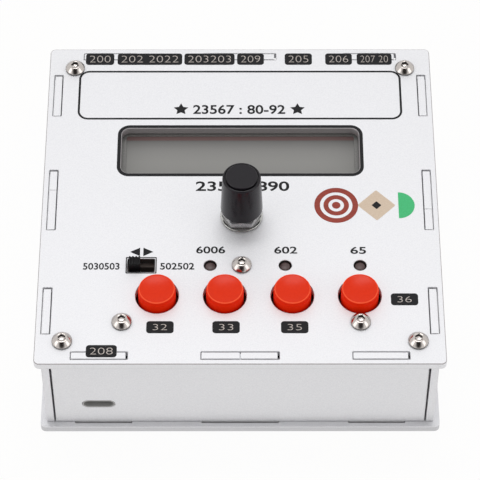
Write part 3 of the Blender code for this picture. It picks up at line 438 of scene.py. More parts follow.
    def mesh(self, name: str) -> bpy.types.Mesh:
        """Makes the shape a mesh, with its seams and poles merged and its faces turned outwards.

        Args:
            name: The mesh's name.

        Returns:
            The mesh.
        """
        mesh = bpy.data.meshes.new(name)
        mesh.from_pydata(np.concatenate(self.points).tolist(), [], self.faces)
        mesh.polygons.foreach_set("use_smooth", self.smooth)
        mesh.polygons.foreach_set("material_index", self.coats)
        close(mesh)
        flags = np.empty(len(mesh.polygons), bool)
        mesh.polygons.foreach_get("use_smooth", flags)
        mesh.set_sharp_from_angle(angle=SHARP_ANGLE)
        mesh.polygons.foreach_set("use_smooth", flags)
        return mesh


def close(mesh: bpy.types.Mesh) -> None:
    """Merges a mesh's doubles and turns its faces outwards.

    Args:
        mesh: The mesh, which is changed in place.
    """
    work = bmesh.new()
    work.from_mesh(mesh)
    bmesh.ops.remove_doubles(work, verts=work.verts, dist=WELD)
    bmesh.ops.dissolve_degenerate(work, edges=work.edges, dist=WELD / 10)
    bmesh.ops.recalc_face_normals(work, faces=work.faces)
    work.to_mesh(mesh)
    work.free()


def fillet(centre: Place, radius: float, start: float, end: float, steps: int = 4) -> list[Place]:
    """Points of a profile's arc: centre + radius * (cos t, sin t), with t from start to end.

    Args:
        centre: Middle of the arc, as radius and height in the profile.
        radius: Its radius.
        start: Angle of its first point, in degrees.
        end: Angle of its last point, in degrees.
        steps: Steps along it.

    Returns:
        The arc's points.
    """
    turns = np.radians(np.linspace(start, end, steps + 1))
    points = np.column_stack([centre[0] + radius * np.cos(turns), centre[1] + radius * np.sin(turns)])
    return [tuple(point) for point in points.tolist()]


def hexagon_share(steps: int) -> Array:
    """Radius of a hexagon round the axis, as a share of its corner radius: cos 30 / cos(t - 30)."""
    turns = np.mod(2 * math.pi * np.arange(steps) / steps, math.pi / 3) - math.pi / 6
    return math.cos(math.pi / 6) / np.cos(turns)


@dataclass(frozen=True)
class Finish:
    """A surface whose colour, roughness and relief follow a fine noise.

    Attributes:
        name: The material's name.
        light: Colour of the noise's high spots.
        dark: Colour of its low spots.
        grain: Size of the grain in metres.
        relief: Height of the grain in metres.
        roughness: Roughness at the low and high spots.
        stretch: How much longer the grain is along X, Y and Z.
        constants: Constant shader sockets.
    """

    name: str
    light: str
    dark: str
    grain: float
    relief: float
    roughness: Place
    stretch: Point = (1.0, 1.0, 1.0)
    constants: dict[str, object] = field(default_factory=dict)

    def material(self) -> bpy.types.Material:
        """Makes the finish's material, or finds the one that is there.

        Returns:
            The material.
        """
        found = bpy.data.materials.get(self.name)
        if found:
            return found
        made = bpy.data.materials.new(self.name)
        tree = emptied(made)
        coords = add_node(tree, "ShaderNodeTexCoord", {}, {}).outputs["Object"]
        scale = tuple(1 / (self.grain * length) for length in self.stretch)
        mapping = add_node(tree, "ShaderNodeMapping", {}, {"Vector": coords, "Scale": scale})
        noise = add_node(tree, "ShaderNodeTexNoise", {}, {
            "Vector": mapping.outputs[0], "Scale": 1.0, "Detail": 2.0, "Roughness": 0.6})
        spread = add_node(tree, "ShaderNodeMapRange", {}, {
            "Value": noise.outputs[0], "From Min": NOISE_RANGE[0], "From Max": NOISE_RANGE[1]})
        colour = self.colour(tree, coords, spread.outputs[0])
        rough = add_node(tree, "ShaderNodeMapRange", {}, {
            "Value": spread.outputs[0], "To Min": self.roughness[0], "To Max": self.roughness[1]})
        bump = add_node(tree, "ShaderNodeBump", {}, {
            "Height": noise.outputs[0], "Distance": self.relief, "Strength": 1.0})
        shader = add_node(tree, "ShaderNodeBsdfPrincipled", {}, {
            "Base Color": colour, "Roughness": rough.outputs[0], "Normal": bump.outputs[0],
            **self.constants})
        add_node(tree, "ShaderNodeOutputMaterial", {}, {"Surface": shader.outputs[0]})
        return made

    def colour(self, tree: Tree, coords: Socket, grain: Socket) -> Socket:
        """Colour of the surface: a mix of the dark and the light colour by the grain."""
        return mix_colours(tree, grain, linear(self.dark), linear(self.light))


@dataclass(frozen=True)
class BoardFinish(Finish):
    """Solder mask over copper: tracks show as lighter lines, and the drilled lands as bright dots.

    Attributes:
        track: Colour of the tracks.
        land: Colour of the lands.
        pitch: Pitch of the holes.
        track_pitch: Distance of the tracks, in pitches.
        track_width: Their width, as a share of that distance.
        land_pitch: Distance of the lands, in pitches.
        scatter: How unevenly the lands lie, from 0 to 1.
        dot: Radius of a land, as a share of their distance.
    """

    track: str = "#1C7A3C"
    land: str = "#C9A24A"
    pitch: float = 0.00254
    track_pitch: float = 4.0
    track_width: float = 0.03
    land_pitch: float = 2.0
    scatter: float = 0.35
    dot: float = 0.12

    def colour(self, tree: Tree, coords: Socket, grain: Socket) -> Socket:
        """Mask colour, with tracks from a brick pattern and lands from a cell pattern.

        Args:
            tree: The material's node tree.
            coords: Place on the object.
            grain: Value of the noise.

        Returns:
            The colour's socket.
        """
        base = mix_colours(tree, grain, linear(self.dark), linear(self.light))
        brick = add_node(tree, "ShaderNodeTexBrick", {}, {
            "Vector": coords, "Scale": 1 / (self.track_pitch * self.pitch),
            "Mortar Size": self.track_width, "Color1": BLACK, "Color2": BLACK, "Mortar": WHITE})
        tracked = mix_colours(tree, brick.outputs[0], base, linear(self.track))
        cells = add_node(tree, "ShaderNodeTexVoronoi", {}, {
            "Vector": coords, "Scale": 1 / (self.land_pitch * self.pitch), "Randomness": self.scatter})
        spot = maths(tree, "LESS_THAN", cells.outputs["Distance"], self.dot)
        return mix_colours(tree, spot, tracked, linear(self.land))


@dataclass(frozen=True)
class GlassFinish(Finish):
    """Display glass over its polariser.

    The grey is darkest at the back edge of the view and lightens with the root of the distance from it:
    painted shade under the plate's edge.

    Attributes:
        back: Where along Y the view ends at the back.
        shade_fade: Distance over which the grey lightens.
        edge: Width of the brown band along the back.
        edge_colour: Colour of that band.
    """

    back: float = 0.0
    shade_fade: float = 0.008
    edge: float = 0.0013
    edge_colour: str = "#8A7270"

    def colour(self, tree: Tree, coords: Socket, grain: Socket) -> Socket:
        """Painted shade by the distance from the back edge, and the brown band.

        Args:
            tree: The material's node tree.
            coords: Place on the object.
            grain: Value of the noise, which the glass doesn't show.

        Returns:
            The colour's socket.
        """
        along = add_node(tree, "ShaderNodeSeparateXYZ", {}, {0: coords}).outputs[1]
        start = self.back - self.edge
        share = add_node(tree, "ShaderNodeMapRange", {}, {
            "Value": along, "From Min": start, "From Max": start - self.shade_fade})
        root = maths(tree, "SQRT", share.outputs[0])
        grey = mix_colours(tree, root, linear(self.dark), linear(self.light))
        return mix_colours(tree, maths(tree, "GREATER_THAN", along, start), grey, linear(self.edge_colour))


# Shader constants that several finishes share.
METAL = {"Metallic": 1.0}
ART_PIGMENT = {"Specular IOR Level": 0.35}

# Aluminium sheet, bead blasted and clear anodised: an even satin silver with a fine sparkle.
# The real grit is about 0.1 mm; it is drawn at 0.3 mm so that the sparkle shows.
BLASTED_ALUMINIUM = Finish(
    "bead_blasted_aluminium", "#E8E8EA", "#DCDCDF", 0.0003, 0.000006, (0.5, 0.62),
    constants={"Metallic": 0.7})
# The same sheet, smoother and darker: painted shade on the top plate's arrises, on the display window's wall
# and round the punched holes.
SHADED_ARRIS = Finish(
    "arris_with_painted_shade", "#ADA8A9", "#9B9798", 0.0003, 0.000002, (0.3, 0.4), constants={"Metallic": 0.5})
# The bottom plate's outer edge: a little greyer, painted shade on that side.
SHADED_BOTTOM_EDGE = Finish(
    "guillotined_aluminium", "#D0D0D2", "#C5C5C8", 0.0003, 0.000006, (0.5, 0.62),
    constants={"Metallic": 0.7})
# Walls of the plate's punched holes: a near white with no metal in it, painted light on walls that lie in
# shade.
LIT_HOLE_WALL = Finish(
    "hole_wall_with_painted_light", "#FBFAFB", "#F2F1F3", 0.0003, 0.000004, (0.4, 0.5), (1.0, 1.0, 8.0))
# Stainless steel, cold headed and tumbled: a warm bright metal with a soft gloss.
TUMBLED_STAINLESS = Finish(
    "tumbled_stainless_steel", "#C9C3BF", "#B5AEA9", 0.0002, 0.000001, (0.12, 0.2), constants=METAL)
# A dull dark grey metal: painted shade on the screws' under-head edges and sockets, on the washer's lower
# edge, and on the walls of the narrow openings, where little light reaches.
PAINTED_SHADE_GREY = Finish(
    "painted_shade_grey", "#6E6A68", "#5C5957", 0.0002, 0.000002, (0.35, 0.45), constants={"Metallic": 0.8})
# Steel washer with bright nickel: nearly a mirror, a little yellow.
NICKEL_PLATE = Finish(
    "bright_nickel_plate", "#C9C9C6", "#B0B0AD", 0.0002, 0.0000008, (0.1, 0.18), constants=METAL)
# Steel nut with a thin zinc coat: duller and greener than the washer.
ZINC_PLATE = Finish(
    "dull_zinc_plate", "#B9B8BA", "#A2A1A3", 0.0002, 0.000001, (0.24, 0.32), constants={"Metallic": 0.6})
# Hexagon bar of brass, nickel plated: duller than the nut.
PLATED_BRASS = Finish(
    "nickel_plated_brass", "#CFC7AE", "#B5AC92", 0.0003, 0.000002, (0.22, 0.32),
    (1.0, 1.0, 12.0), METAL)
# Drawn steel shells of the sockets, tin plated: grey and slightly streaked.
TINNED_STEEL = Finish(
    "tinned_steel", "#C4C4C4", "#A9A9AA", 0.0003, 0.000002, (0.24, 0.38), (4.0, 1.0, 1.0), METAL)
# Steel shells of the USB-C sockets, with a matt tin coat: a soft grey.
MATT_TIN = Finish(
    "matt_tin_plate", "#B9B8B7", "#AAA9A8", 0.0003, 0.000002, (0.45, 0.55), constants={"Metallic": 0.35})
# Contacts with hard gold.
GOLD_PLATE = Finish(
    "hard_gold_plate", "#D9B25A", "#C79C45", 0.0002, 0.000001, (0.18, 0.26), constants=METAL)
# ABS caps, injection moulded: the top is glossy and the side a little matt, as the mould left them. The top's
# red is a little more orange than the side's: a painted sheen.
RED_ABS = Finish(
    "moulded_red_abs", "#E83206", "#E42E04", 0.0008, 0.0000006, (0.22, 0.26),
    constants={"Specular IOR Level": 0.17})
MATT_RED_ABS = Finish(
    "matt_red_abs", "#EE2A05", "#EA2603", 0.0008, 0.000001, (0.5, 0.6),
    constants={"Specular IOR Level": 0.05})
# The rim of a cap's top: a lighter red, a painted highlight along the round edge.
PAINTED_RIM_HIGHLIGHT = Finish(
    "red_abs_painted_rim_highlight", "#FF5F3C", "#FA5936", 0.0008, 0.000001, (0.5, 0.6),
    constants={"Specular IOR Level": 0.05})
# ABS knob, moulded against a spark-eroded mould: a fine satin black.
BLACK_KNOB_ABS = Finish(
    "satin_black_abs", "#1D1A1F", "#171419", 0.00025, 0.000001, (0.19, 0.24),
    constants={"Specular IOR Level": 0.28})
# Glass-filled nylon of switches and sockets: a dull black.
BLACK_NYLON = Finish(
    "glass_filled_black_nylon", "#1E1D1F", "#161517", 0.0003, 0.000006, (0.48, 0.62))
# Acetal lever: a deep black with little shine.
BLACK_ACETAL = Finish(
    "black_acetal", "#141315", "#0F0E10", 0.0003, 0.000003, (0.35, 0.45),
    constants={"Specular IOR Level": 0.15})
# Phenolic housing of the slide switch: a dull brown, partly its own colour and partly painted light that
# lifts the deep slot out of its shade.
LIT_BROWN_PHENOLIC = Finish(
    "brown_phenolic_painted_light", "#5A504C", "#4C4340", 0.0004, 0.000004, (0.5, 0.6))
# Steel cover of the slide switch, browned: a dull brown grey.
BROWNED_STEEL = Finish(
    "browned_steel", "#7D736E", "#655B57", 0.0003, 0.000003, (0.35, 0.5), (5.0, 1.0, 1.0))
# Rubber feet: a dead black with a dusty bloom.
FOOT_RUBBER = Finish(
    "moulded_black_rubber", "#262627", "#1B1B1C", 0.0003, 0.00001, (0.75, 0.9))
# Steel bezel of the display, stoved black but drawn as a mid grey: a painted sheen on the black.
BEZEL_PAINTED_SHEEN = Finish(
    "black_bezel_painted_sheen", "#8C8B89", "#7C7B79", 0.0004, 0.000003, (0.34, 0.44))
# Display glass over its polarising film: a grey that is lighter towards the front, painted shade under the
# plate's back edge.
SHADED_DISPLAY_GLASS = GlassFinish(
    "display_glass_with_painted_shade", "#8F8E8B", "#7B7A79", 0.004, 0.0, (0.3, 0.36))
# Acrylic light guide with a matt back.
ACRYLIC_GUIDE = Finish(
    "matt_acrylic", "#DDE0D8", "#D2D6CC", 0.0006, 0.000002, (0.35, 0.45))
# Epoxy lamp body, cast in a mould: a smoky red tint, glossy.
LAMP_EPOXY = Finish(
    "smoky_red_epoxy", "#54403F", "#463433", 0.0006, 0.000001, (0.32, 0.4))
# Epoxy ink, screen printed: matt with a slightly raised, grainy edge.
BLACK_INK = Finish(
    "screen_printed_black_ink", "#29292B", "#202022", 0.0002, 0.000004, (0.5, 0.62),
    constants={"Specular IOR Level": 0.12})
# Bare aluminium that shows where the black print leaves the numerals open.
NUMERAL_METAL = Finish(
    "bare_satin_aluminium", "#C4BCB6", "#ACA49E", 0.0003, 0.000003, (0.38, 0.5), constants={"Metallic": 0.6})
GREEN_INK = Finish(
    "screen_printed_green_ink", "#48C27E", "#3FB873", 0.0004, 0.000003, (0.45, 0.55),
    constants=ART_PIGMENT)
CREAM_INK = Finish(
    "screen_printed_cream_ink", "#DCC9B4", "#D3BDA6", 0.0004, 0.000003, (0.45, 0.55),
    constants=ART_PIGMENT)
RUSSET_INK = Finish(
    "screen_printed_russet_ink", "#A04030", "#8C3226", 0.0005, 0.000003, (0.45, 0.55),
    (6.0, 1.0, 1.0), ART_PIGMENT)
# Glass-fibre board under green solder mask.
SOLDER_MASK = BoardFinish(
    "green_solder_mask", "#12602C", "#0E5226", 0.0005, 0.000003, (0.3, 0.42))


def add_piece(name: str, shape: Shape, finish: Finish | Sequence[Finish], body: str,
              replaced: Sequence[str] = ()) -> bpy.types.Object:
    """Makes a shape a piece of the object.

    Args:
        name: The piece's name.
        shape: Its worked-out surface.
        finish: Its finish, or several in the order of the shape's numbers.
        body: The CAD body it moves with.
        replaced: The CAD nodes that it stands for.

    Returns:
        The new object.
    """
    made = link(name, shape.mesh(name))
    for worn in (finish,) if isinstance(finish, Finish) else finish:
        made.data.materials.append(worn.material())
    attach(made, body)
    if replaced:
        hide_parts(*replaced)
    LOG.info("%s: %d faces, on %s", name, len(made.data.polygons), body)
    return made


def stand_in(node: str, suffix: str, shape: Shape, finish: Finish | Sequence[Finish]) -> bpy.types.Object:
    """Adds a piece that stands for one CAD node, on that node's body."""
    return add_piece(f"{node}_{suffix}", shape, finish, body_of(node), (node,))


def dress(node: str, finish: Finish) -> None:
    """Gives a carried-over CAD node its finish.

    Args:
        node: The node.
        finish: Its finish.
    """
    mesh = frame["nodes"][node].data
    mesh.materials.clear()
    mesh.materials.append(finish.material())
    LOG.info("%s: dressed in %s", node, finish.name)


class SheetCoat(IntEnum):
    """Numbers of the finishes on a plate, in the order of Case.finishes."""

    BLASTED = 0
    # The second coat is painted shade on arrises, the third painted light on hole walls, the fourth and fifth
    # painted shade on walls and the outer edge.
    BROKEN = 1
    SHEARED = 2
    DARK = 3
    CUT = 4


@dataclass
class Case:
    """The six sheet-metal panels: two plates, and four walls whose tabs fill slots in them.

    Attributes:
        top_play: Shift of an upper tab's two edges towards the wall's negative end, the nearer edge first.
        bottom_play: The same for a lower tab.
        notch: Width and depth of the slit in a middle tab of the front and rear wall.
        side_notch: The same on the left and right wall.
        side_seam: How far the slit lies off the middle there.
        crease: Radius in the corners between a wall and its tabs.
        window_rims: How far the plate reaches over the display's bezel at its ends and its long sides.
    """

    arris: float = 0.0002
    wall_arris: float = 0.00016
    plate_radius: float = 0.0015
    sheet: float = 0.0024
    seat_gap: float = 0.0002
    wall_sheet: float = 0.0021
    end_tab: float = 0.0151
    end_tab_inset: float = 0.01015
    middle_tab: float = 0.0209
    top_clearance: float = 0.00025
    bottom_clearance: float = 0.0004
    top_play: Place = (0.0001, 0.0003)
    bottom_play: Place = (0.00035, -0.00035)
    corner_gap: float = 0.0002
    slot_radius: float = 0.0002
    tab_radius: float = 0.00015
    notch: Place = (0.0003, 0.0006)
    side_notch: Place = (0.00016, 0.0003)
    side_seam: float = 0.0034
    slit_radius: float = 0.00003
    crease: float = 0.00005
    screw_hole: float = 0.0017
    bushing_hole: float = 0.00365
    lamp_hole: float = 0.0018
    jack_hole: float = 0.0028
    cap_clearance: float = 0.0007
    window_rims: Place = (0.00145, 0.00395)
    window_radius: float = 0.0023
    switch_window: Place = (0.0076, 0.0046)
    small_radius: float = 0.0003
    socket_clearance: float = 0.0003
    usb_c_clearance: float = 0.00012
    finishes: tuple[Finish, ...] = (
        BLASTED_ALUMINIUM, SHADED_ARRIS, LIT_HOLE_WALL, PAINTED_SHADE_GREY, SHADED_BOTTOM_EDGE)

    def tabs(self, half_length: float) -> list[Place]:
        """Middle and length of the three tabs along an edge of that half length."""
        end = half_length - self.end_tab_inset - self.end_tab / 2
        return [(-end, self.end_tab), (0.0, self.middle_tab), (end, self.end_tab)]

    def shared_holes(self, clearance: float) -> list[Array]:
        """Openings that both plates have: slots for the tabs, and holes for the corner screws.

        Args:
            clearance: Gap round a tab.

        Returns:
            The openings' outlines.
        """
        half = box_of("top_plate").high[:2]
        wall = centre_of("right_wall")[0], centre_of("rear_wall")[1]
        loops = []
        for side, along in ((-1, 0), (-1, 1), (1, 0), (1, 1)):
            for middle, length in self.tabs(half[along]):
                place = np.roll([middle, side * wall[1 - along]], along)
                size = np.roll([length, self.wall_sheet], along) + 2 * clearance
                loops.append(rounded(rectangle(place, size), self.slot_radius, 3))
        screws = numbered("top_corner_screw", 4)
        return loops + [ring(centre_of(node), self.screw_hole, 40) for node in screws]

    def window_size(self) -> Array:
        """Width and depth of the display's window."""
        return box_of("display_frame").size[:2] - 2 * np.array(self.window_rims)

    def dark_holes(self) -> list[Array]:
        """Openings of the top plate for the mode switch and the lamps.

        Returns:
            The openings' outlines.
        """
        loops = [ring(centre_of(node), self.lamp_hole, 48) for node in numbered("indicator_lamp", 3)]
        window = rectangle(centre_of("slide_switch_body"), self.switch_window)
        return [rounded(window, self.small_radius, 3), *loops]

    def control_holes(self) -> list[Array]:
        """Openings of the top plate for the buttons, the board's screws and the encoder's bushing.

        Returns:
            The openings' outlines.
        """
        boxes = [box_of(node) for node in numbered("button_cap", 4)]
        loops = [ring(box.centre, box.size[0] / 2 + self.cap_clearance, 96) for box in boxes]
        loops += [ring(centre_of(node), self.screw_hole, 40) for node in numbered("board_screw", 3)]
        return loops + [ring(centre_of("encoder_washer"), self.bushing_hole, 64)]

    def plate(self, node: str, slots: Sequence[Array] = (), window: Sequence[Array] = (),
              holes: Sequence[Array] = (), dark: Sequence[Array] = ()) -> None:
        """A plate: its rounded outline and openings, with softened arrises.

        Args:
            node: The plate's CAD node.
            slots: Openings whose walls are blasted as the plate is.
            window: The display's window, whose arrises and wall are darker: painted shade.
            holes: Openings with darker arrises and whiter walls: painted shade and painted light.
            dark: Openings whose walls are dark: painted shade.
        """
        box = box_of(node)
        outline = rounded(rectangle(box.centre, box.size), self.plate_radius, 10)
        # The second coat is a darker arris, painted shade; the third a whiter wall, painted light; the fourth
        # a darker wall and the fifth a greyer outer edge, both painted shade.
        blasted, broken, lit_wall, deep, edge_shade = SheetCoat
        coats = [(broken, blasted) if window else (blasted, edge_shade)] + [(blasted, blasted)] * len(slots)
        coats += [(broken, broken)] * len(window) + [(broken, lit_wall)] * len(holes)
        coats += [(blasted, deep)] * len(dark)
        loops = [outline, *slots, *window, *holes, *dark]
        shape = Shape().prism(loops, box.low[2], box.high[2], self.arris, coats=coats)
        stand_in(node, "sheet", shape, self.finishes)

    def wall(self, node: str, along: int, holes: list[Array]) -> None:
        """A wall: its body lies between the plates, and its tabs reach through them.

        Args:
            node: The wall's CAD node.
            along: 0 for a wall along X, 1 for one along Y.
            holes: Its openings, as outlines along the wall and up.
        """
        low, high = box_of(node)
        across = 1 - along
        half = high[along] - self.corner_gap * across
        plate_half = box_of("top_plate").high[along]
        body_low = low[2] + self.sheet + self.seat_gap
        body_high = high[2] - self.sheet - self.seat_gap
        slit, depth = self.side_notch if along else self.notch
        seam = -self.side_seam * along * math.copysign(1.0, low[across])
        edges = []
        for root, tip, side, play in ((body_low, low[2], 1, self.bottom_play),
                                      (body_high, high[2], -1, self.top_play)):
            edges.append((-side * half, root, self.crease))
            for middle, length in self.tabs(plate_half):
                left = side * middle - length / 2 - play[0]
                right = side * middle + length / 2 - play[1]
                start, end = (left, right)[::side]
                edges += [(start, root, self.crease), (start, tip, self.tab_radius)]
                if middle == 0:
                    bottom = tip + side * depth
                    near, far = seam - side * slit / 2, seam + side * slit / 2
                    slit_path = ((near, tip), (near, bottom), (far, bottom), (far, tip))
                    edges += [(*point, self.slit_radius) for point in slit_path]
                edges += [(end, tip, self.tab_radius), (end, root, self.crease)]
            edges.append((side * half, root, self.crease))
        corners = np.array(edges)
        outline = rounded(corners[:, :2], corners[:, 2], 2)
        axes = Axes.ALONG_X if along else Axes.ALONG_Y
        shape = Shape(axes).prism([outline, *holes], low[across], high[across], self.wall_arris)
        stand_in(node, "sheet", shape, BLASTED_ALUMINIUM)

    def socket_hole(self, node: str, clearance: float, radius: float | None = None) -> Array:
        """The opening for a socket in its wall.

        Args:
            node: The socket's CAD node.
            clearance: Gap round the socket.
            radius: Radius of the opening's corners, or None for round ends.

        Returns:
            The outline, along the wall and up.
        """
        box = box_of(node)
        size = box.size[[0, 2]] + 2 * clearance
        corner = size[1] / 2 - WELD if radius is None else radius
        return rounded(rectangle(box.centre[[0, 2]], size), corner, 12)

    def build(self) -> None:
        """Builds the two plates and the four walls."""
        window = rounded(rectangle(centre_of("display_frame"), self.window_size()), self.window_radius, 8)
        self.plate("top_plate", self.shared_holes(self.top_clearance), [window], self.control_holes(),
                   self.dark_holes())
        self.plate("bottom_plate", dark=self.shared_holes(self.bottom_clearance))
        front = [self.socket_hole("front_usb_c_socket", self.usb_c_clearance)]
        rear = [self.socket_hole("rear_usb_c_socket", self.usb_c_clearance),
                self.socket_hole("usb_a_socket", self.socket_clearance, self.small_radius)]
        rear += [ring(centre_of(node)[[0, 2]], self.jack_hole, 64) for node in numbered("audio_jack", 5)]
        self.wall("front_wall", 0, front)
        self.wall("rear_wall", 0, rear)
        self.wall("left_wall", 1, [])
        self.wall("right_wall", 1, [])


@dataclass
class Screws:
    """Button-head screws with a hexagon socket and a rolled thread.

    Attributes:
        edge: Bevel under the rim of the head.
        land: Width of the flat ring round the socket.
        floor_share: Where the socket's floor starts to slope, as a share of its radius.
        floor_falls: Depth of the floor there and in the middle.
        thread_ends: Plain lengths at the tip and under the head, in pitches.
        thread_steps: Rows of points in a pitch.
        neck: Where the shank is full again under the head, in pitches.
        turns_apart: How far each screw is turned from the one before, in turns.
        bulge: Power that makes the head's side fuller than an ellipse.
    """

    steps: int = 48
    shank: float = 0.0015
    head: float = 0.0028
    head_height: float = 0.00165
    edge: float = 0.0001
    rim: float = 0.0003
    socket: float = 0.001155
    socket_depth: float = 0.0011
    socket_lead: float = 0.00012
    floor_share: float = 0.9
    floor_falls: Place = (0.00005, 0.0003)
    land: float = 0.0004
    pitch: float = 0.0005
    thread_depth: float = 0.00028
    thread_ends: Place = (0.6, 0.7)
    thread_steps: int = 6
    neck: float = 0.3
    turns_apart: float = 0.29
    bulge: float = 1.8
    finishes: tuple[Finish, ...] = (TUMBLED_STAINLESS, PAINTED_SHADE_GREY)

    def shape(self, node: str, number: int, up: bool) -> Shape:
        """A screw's surface.

        Its radius is the profile's, blended in the socket with a hexagon's, and on the shank lessened by
        the thread depth times a triangle wave of height / pitch + t / 360, so that the thread is a helix.
        The head's side follows crown + reach * cos(t) ** bulge and rim + dome * sin(t) ** bulge.

        Args:
            node: The screw's CAD node.
            number: Its place in the set, which turns its socket.
            up: True if its shank points up.

        Returns:
            The shape, in place.
        """
        low, high = box_of(node)
        length = high[2] - low[2] - self.head_height
        floor = self.head_height - self.socket_depth
        crown = self.socket + self.land
        rows = [(0.0, -length), (self.shank - self.thread_depth, -length)]
        thread = np.arange(-length + self.pitch * self.thread_ends[0], -self.pitch * self.thread_ends[1],
                           self.pitch / self.thread_steps)
        first = len(rows)
        rows += [(self.shank, height) for height in thread.tolist()]
        last = len(rows)
        rows += [(self.shank, -self.pitch * self.neck), (self.shank, 0.0), (self.head - self.edge, 0.0)]
        rows += [(self.head, self.edge), (self.head, self.rim)]
        dome = self.head_height - self.rim
        reach = self.head - crown
        rows += [(crown + reach * math.cos(t) ** self.bulge, self.rim + dome * math.sin(t) ** self.bulge)
                 for t in np.linspace(0, math.pi / 2, 11)[1:].tolist()]
        socket_first = len(rows)
        rows += [(self.socket + self.socket_lead, self.head_height),
                 (self.socket, self.head_height - self.socket_lead), (self.socket, floor),
                 (self.socket * self.floor_share, floor - self.floor_falls[0]),
                 (0.0, floor - self.floor_falls[1])]
        factors = np.ones((len(rows), self.steps))
        factors[socket_first:] = hexagon_share(self.steps)
        factors[socket_first] = (1 + factors[socket_first]) / 2
        turns = np.arange(self.steps) / self.steps
        wave = np.abs(np.mod(thread[:, None] / self.pitch + turns, 1) * 2 - 1)
        factors[first:last] -= wave * self.thread_depth / self.shank
        profile = np.array(rows)
        profile[:, 1] = (low[2] + self.head_height - profile[:, 1]) if up else (
            high[2] - self.head_height + profile[:, 1])
        shift = int(number * self.turns_apart * self.steps)
        coats = np.zeros(len(rows) - 1, int)
        # Painted shade: the head's underside, its lower edge and the socket's wall wear the dark grey.
        coats[last + 1:last + 4] = 1
        coats[socket_first + 1] = 1
        return Shape().turned(profile, centre_of(node), self.steps, np.roll(factors, shift, axis=1), coats)

    def build(self) -> None:
        """Builds the eleven screws."""
        jobs = [(f"{side}_corner_screw_{number}", number) for number in range(1, 5)
                for side in ("top", "bottom")]
        jobs += [(f"board_screw_{number}", number + 4) for number in range(1, 4)]
        for node, number in jobs:
            shape = self.shape(node, number, node.startswith("bottom"))
            stand_in(node, "steel", shape, self.finishes)


@dataclass
class Supports:
    """The hexagon corner posts and the rubber feet.

    Attributes:
        foot_recess: Depth of the hollow in a foot's underside.
        recess_rim: Start and end of the hollow's slope, as shares of the foot's radius.
    """

    post_bore: float = 0.0017
    post_arris: float = 0.0002
    foot_taper: float = 0.0005
    foot_arris: float = 0.0004
    foot_recess: float = 0.00015
    recess_rim: Place = (0.5, 0.58)

    def post(self, node: str) -> Shape:
        """A post: a drilled hexagon bar whose long edges and ends are broken.

        Args:
            node: The post's CAD node.

        Returns:
            The shape, in place.
        """
        box = box_of(node)
        hexagon = rounded(ring(box.centre, box.size[1] / 2, 6, math.pi / 2), self.post_arris, 3)
        loops = [hexagon, ring(box.centre, self.post_bore, 40)]
        return Shape().prism(loops, box.low[2], box.high[2], self.post_arris)

    def foot(self, node: str) -> Shape:
        """A foot: a tapered disc with round edges and a shallow hollow underneath.

        Args:
            node: The foot's CAD node.

        Returns:
            The shape, in place.
        """
        box = box_of(node)
        bottom, top = box.low[2], box.high[2]
        radius = box.size[0] / 2
        tip = radius - self.foot_taper
        arc = self.foot_arris
        hollow = bottom + self.foot_recess
        profile = [(0.0, hollow), (tip * self.recess_rim[0], hollow), (tip * self.recess_rim[1], bottom)]
        profile += fillet((tip - arc, bottom + arc), arc, -90, 0)
        profile += fillet((radius - arc / 2, top - arc / 2), arc / 2, 0, 90)
        return Shape().turned([*profile, (0.0, top)], box.centre, 72)

    def build(self) -> None:
        """Builds four posts and four feet."""
        for node in numbered("corner_post", 4):
            stand_in(node, "bar", self.post(node), PLATED_BRASS)
        for node in numbered("foot", 4):
            stand_in(node, "rubber", self.foot(node), FOOT_RUBBER)


@dataclass
class Display:
    """The character display: its bezel, its glass with the polariser film, light guide and board."""

    side_rim: float = 0.0026
    long_rim: float = 0.0036
    wall: float = 0.0006
    bend: float = 0.0005
    corner: float = 0.0006
    glass_radius: float = 0.0003
    glass_arris: float = 0.00015

    def bezel(self) -> None:
        """The folded steel bezel: one skin swept through rectangles, out, over, in and back down."""
        box = box_of("display_frame")
        bottom, top = box.low[2], box.high[2]
        rim = np.array([self.side_rim, self.long_rim])
        steps = [(0.0, bottom, 0.0)]
        steps += [(self.bend * (1 - math.cos(t)), top - self.bend * (1 - math.sin(t)), 0.0)
                  for t in np.radians(np.linspace(0, 90, 5)).tolist()]
        steps += [(0.0, top, 1.0), (0.0, top - self.wall, 1.0), (self.wall, top - self.wall, 0.0)]
        steps += [(self.wall, bottom, 0.0), (0.0, bottom, 0.0)]
        loops = [rounded(rectangle(box.centre, box.size[:2] - 2 * (inset + share * rim)), self.corner, 4)
                 for inset, _, share in steps]
        shape = Shape().sweep(loops, [level for _, level, _ in steps])
        stand_in("display_frame", "bezel", shape, BEZEL_PAINTED_SHEEN)

    def glass(self) -> None:
        """The glass with ground edges."""
        box = box_of("display_glass")
        back = box_of("display_frame").high[1] - self.long_rim
        finish = replace(SHADED_DISPLAY_GLASS, back=float(back))
        outline = rounded(rectangle(box.centre, box.size), self.glass_radius, 3)
        shape = Shape().prism([outline], box.low[2], box.high[2], self.glass_arris)
        stand_in("display_glass", "plate", shape, finish)

    def build(self) -> None:
        """Builds the bezel and the glass, and dresses the board and the light guide."""
        self.bezel()
        self.glass()
        dress("display_backlight", ACRYLIC_GUIDE)
        dress("display_board", SOLDER_MASK)


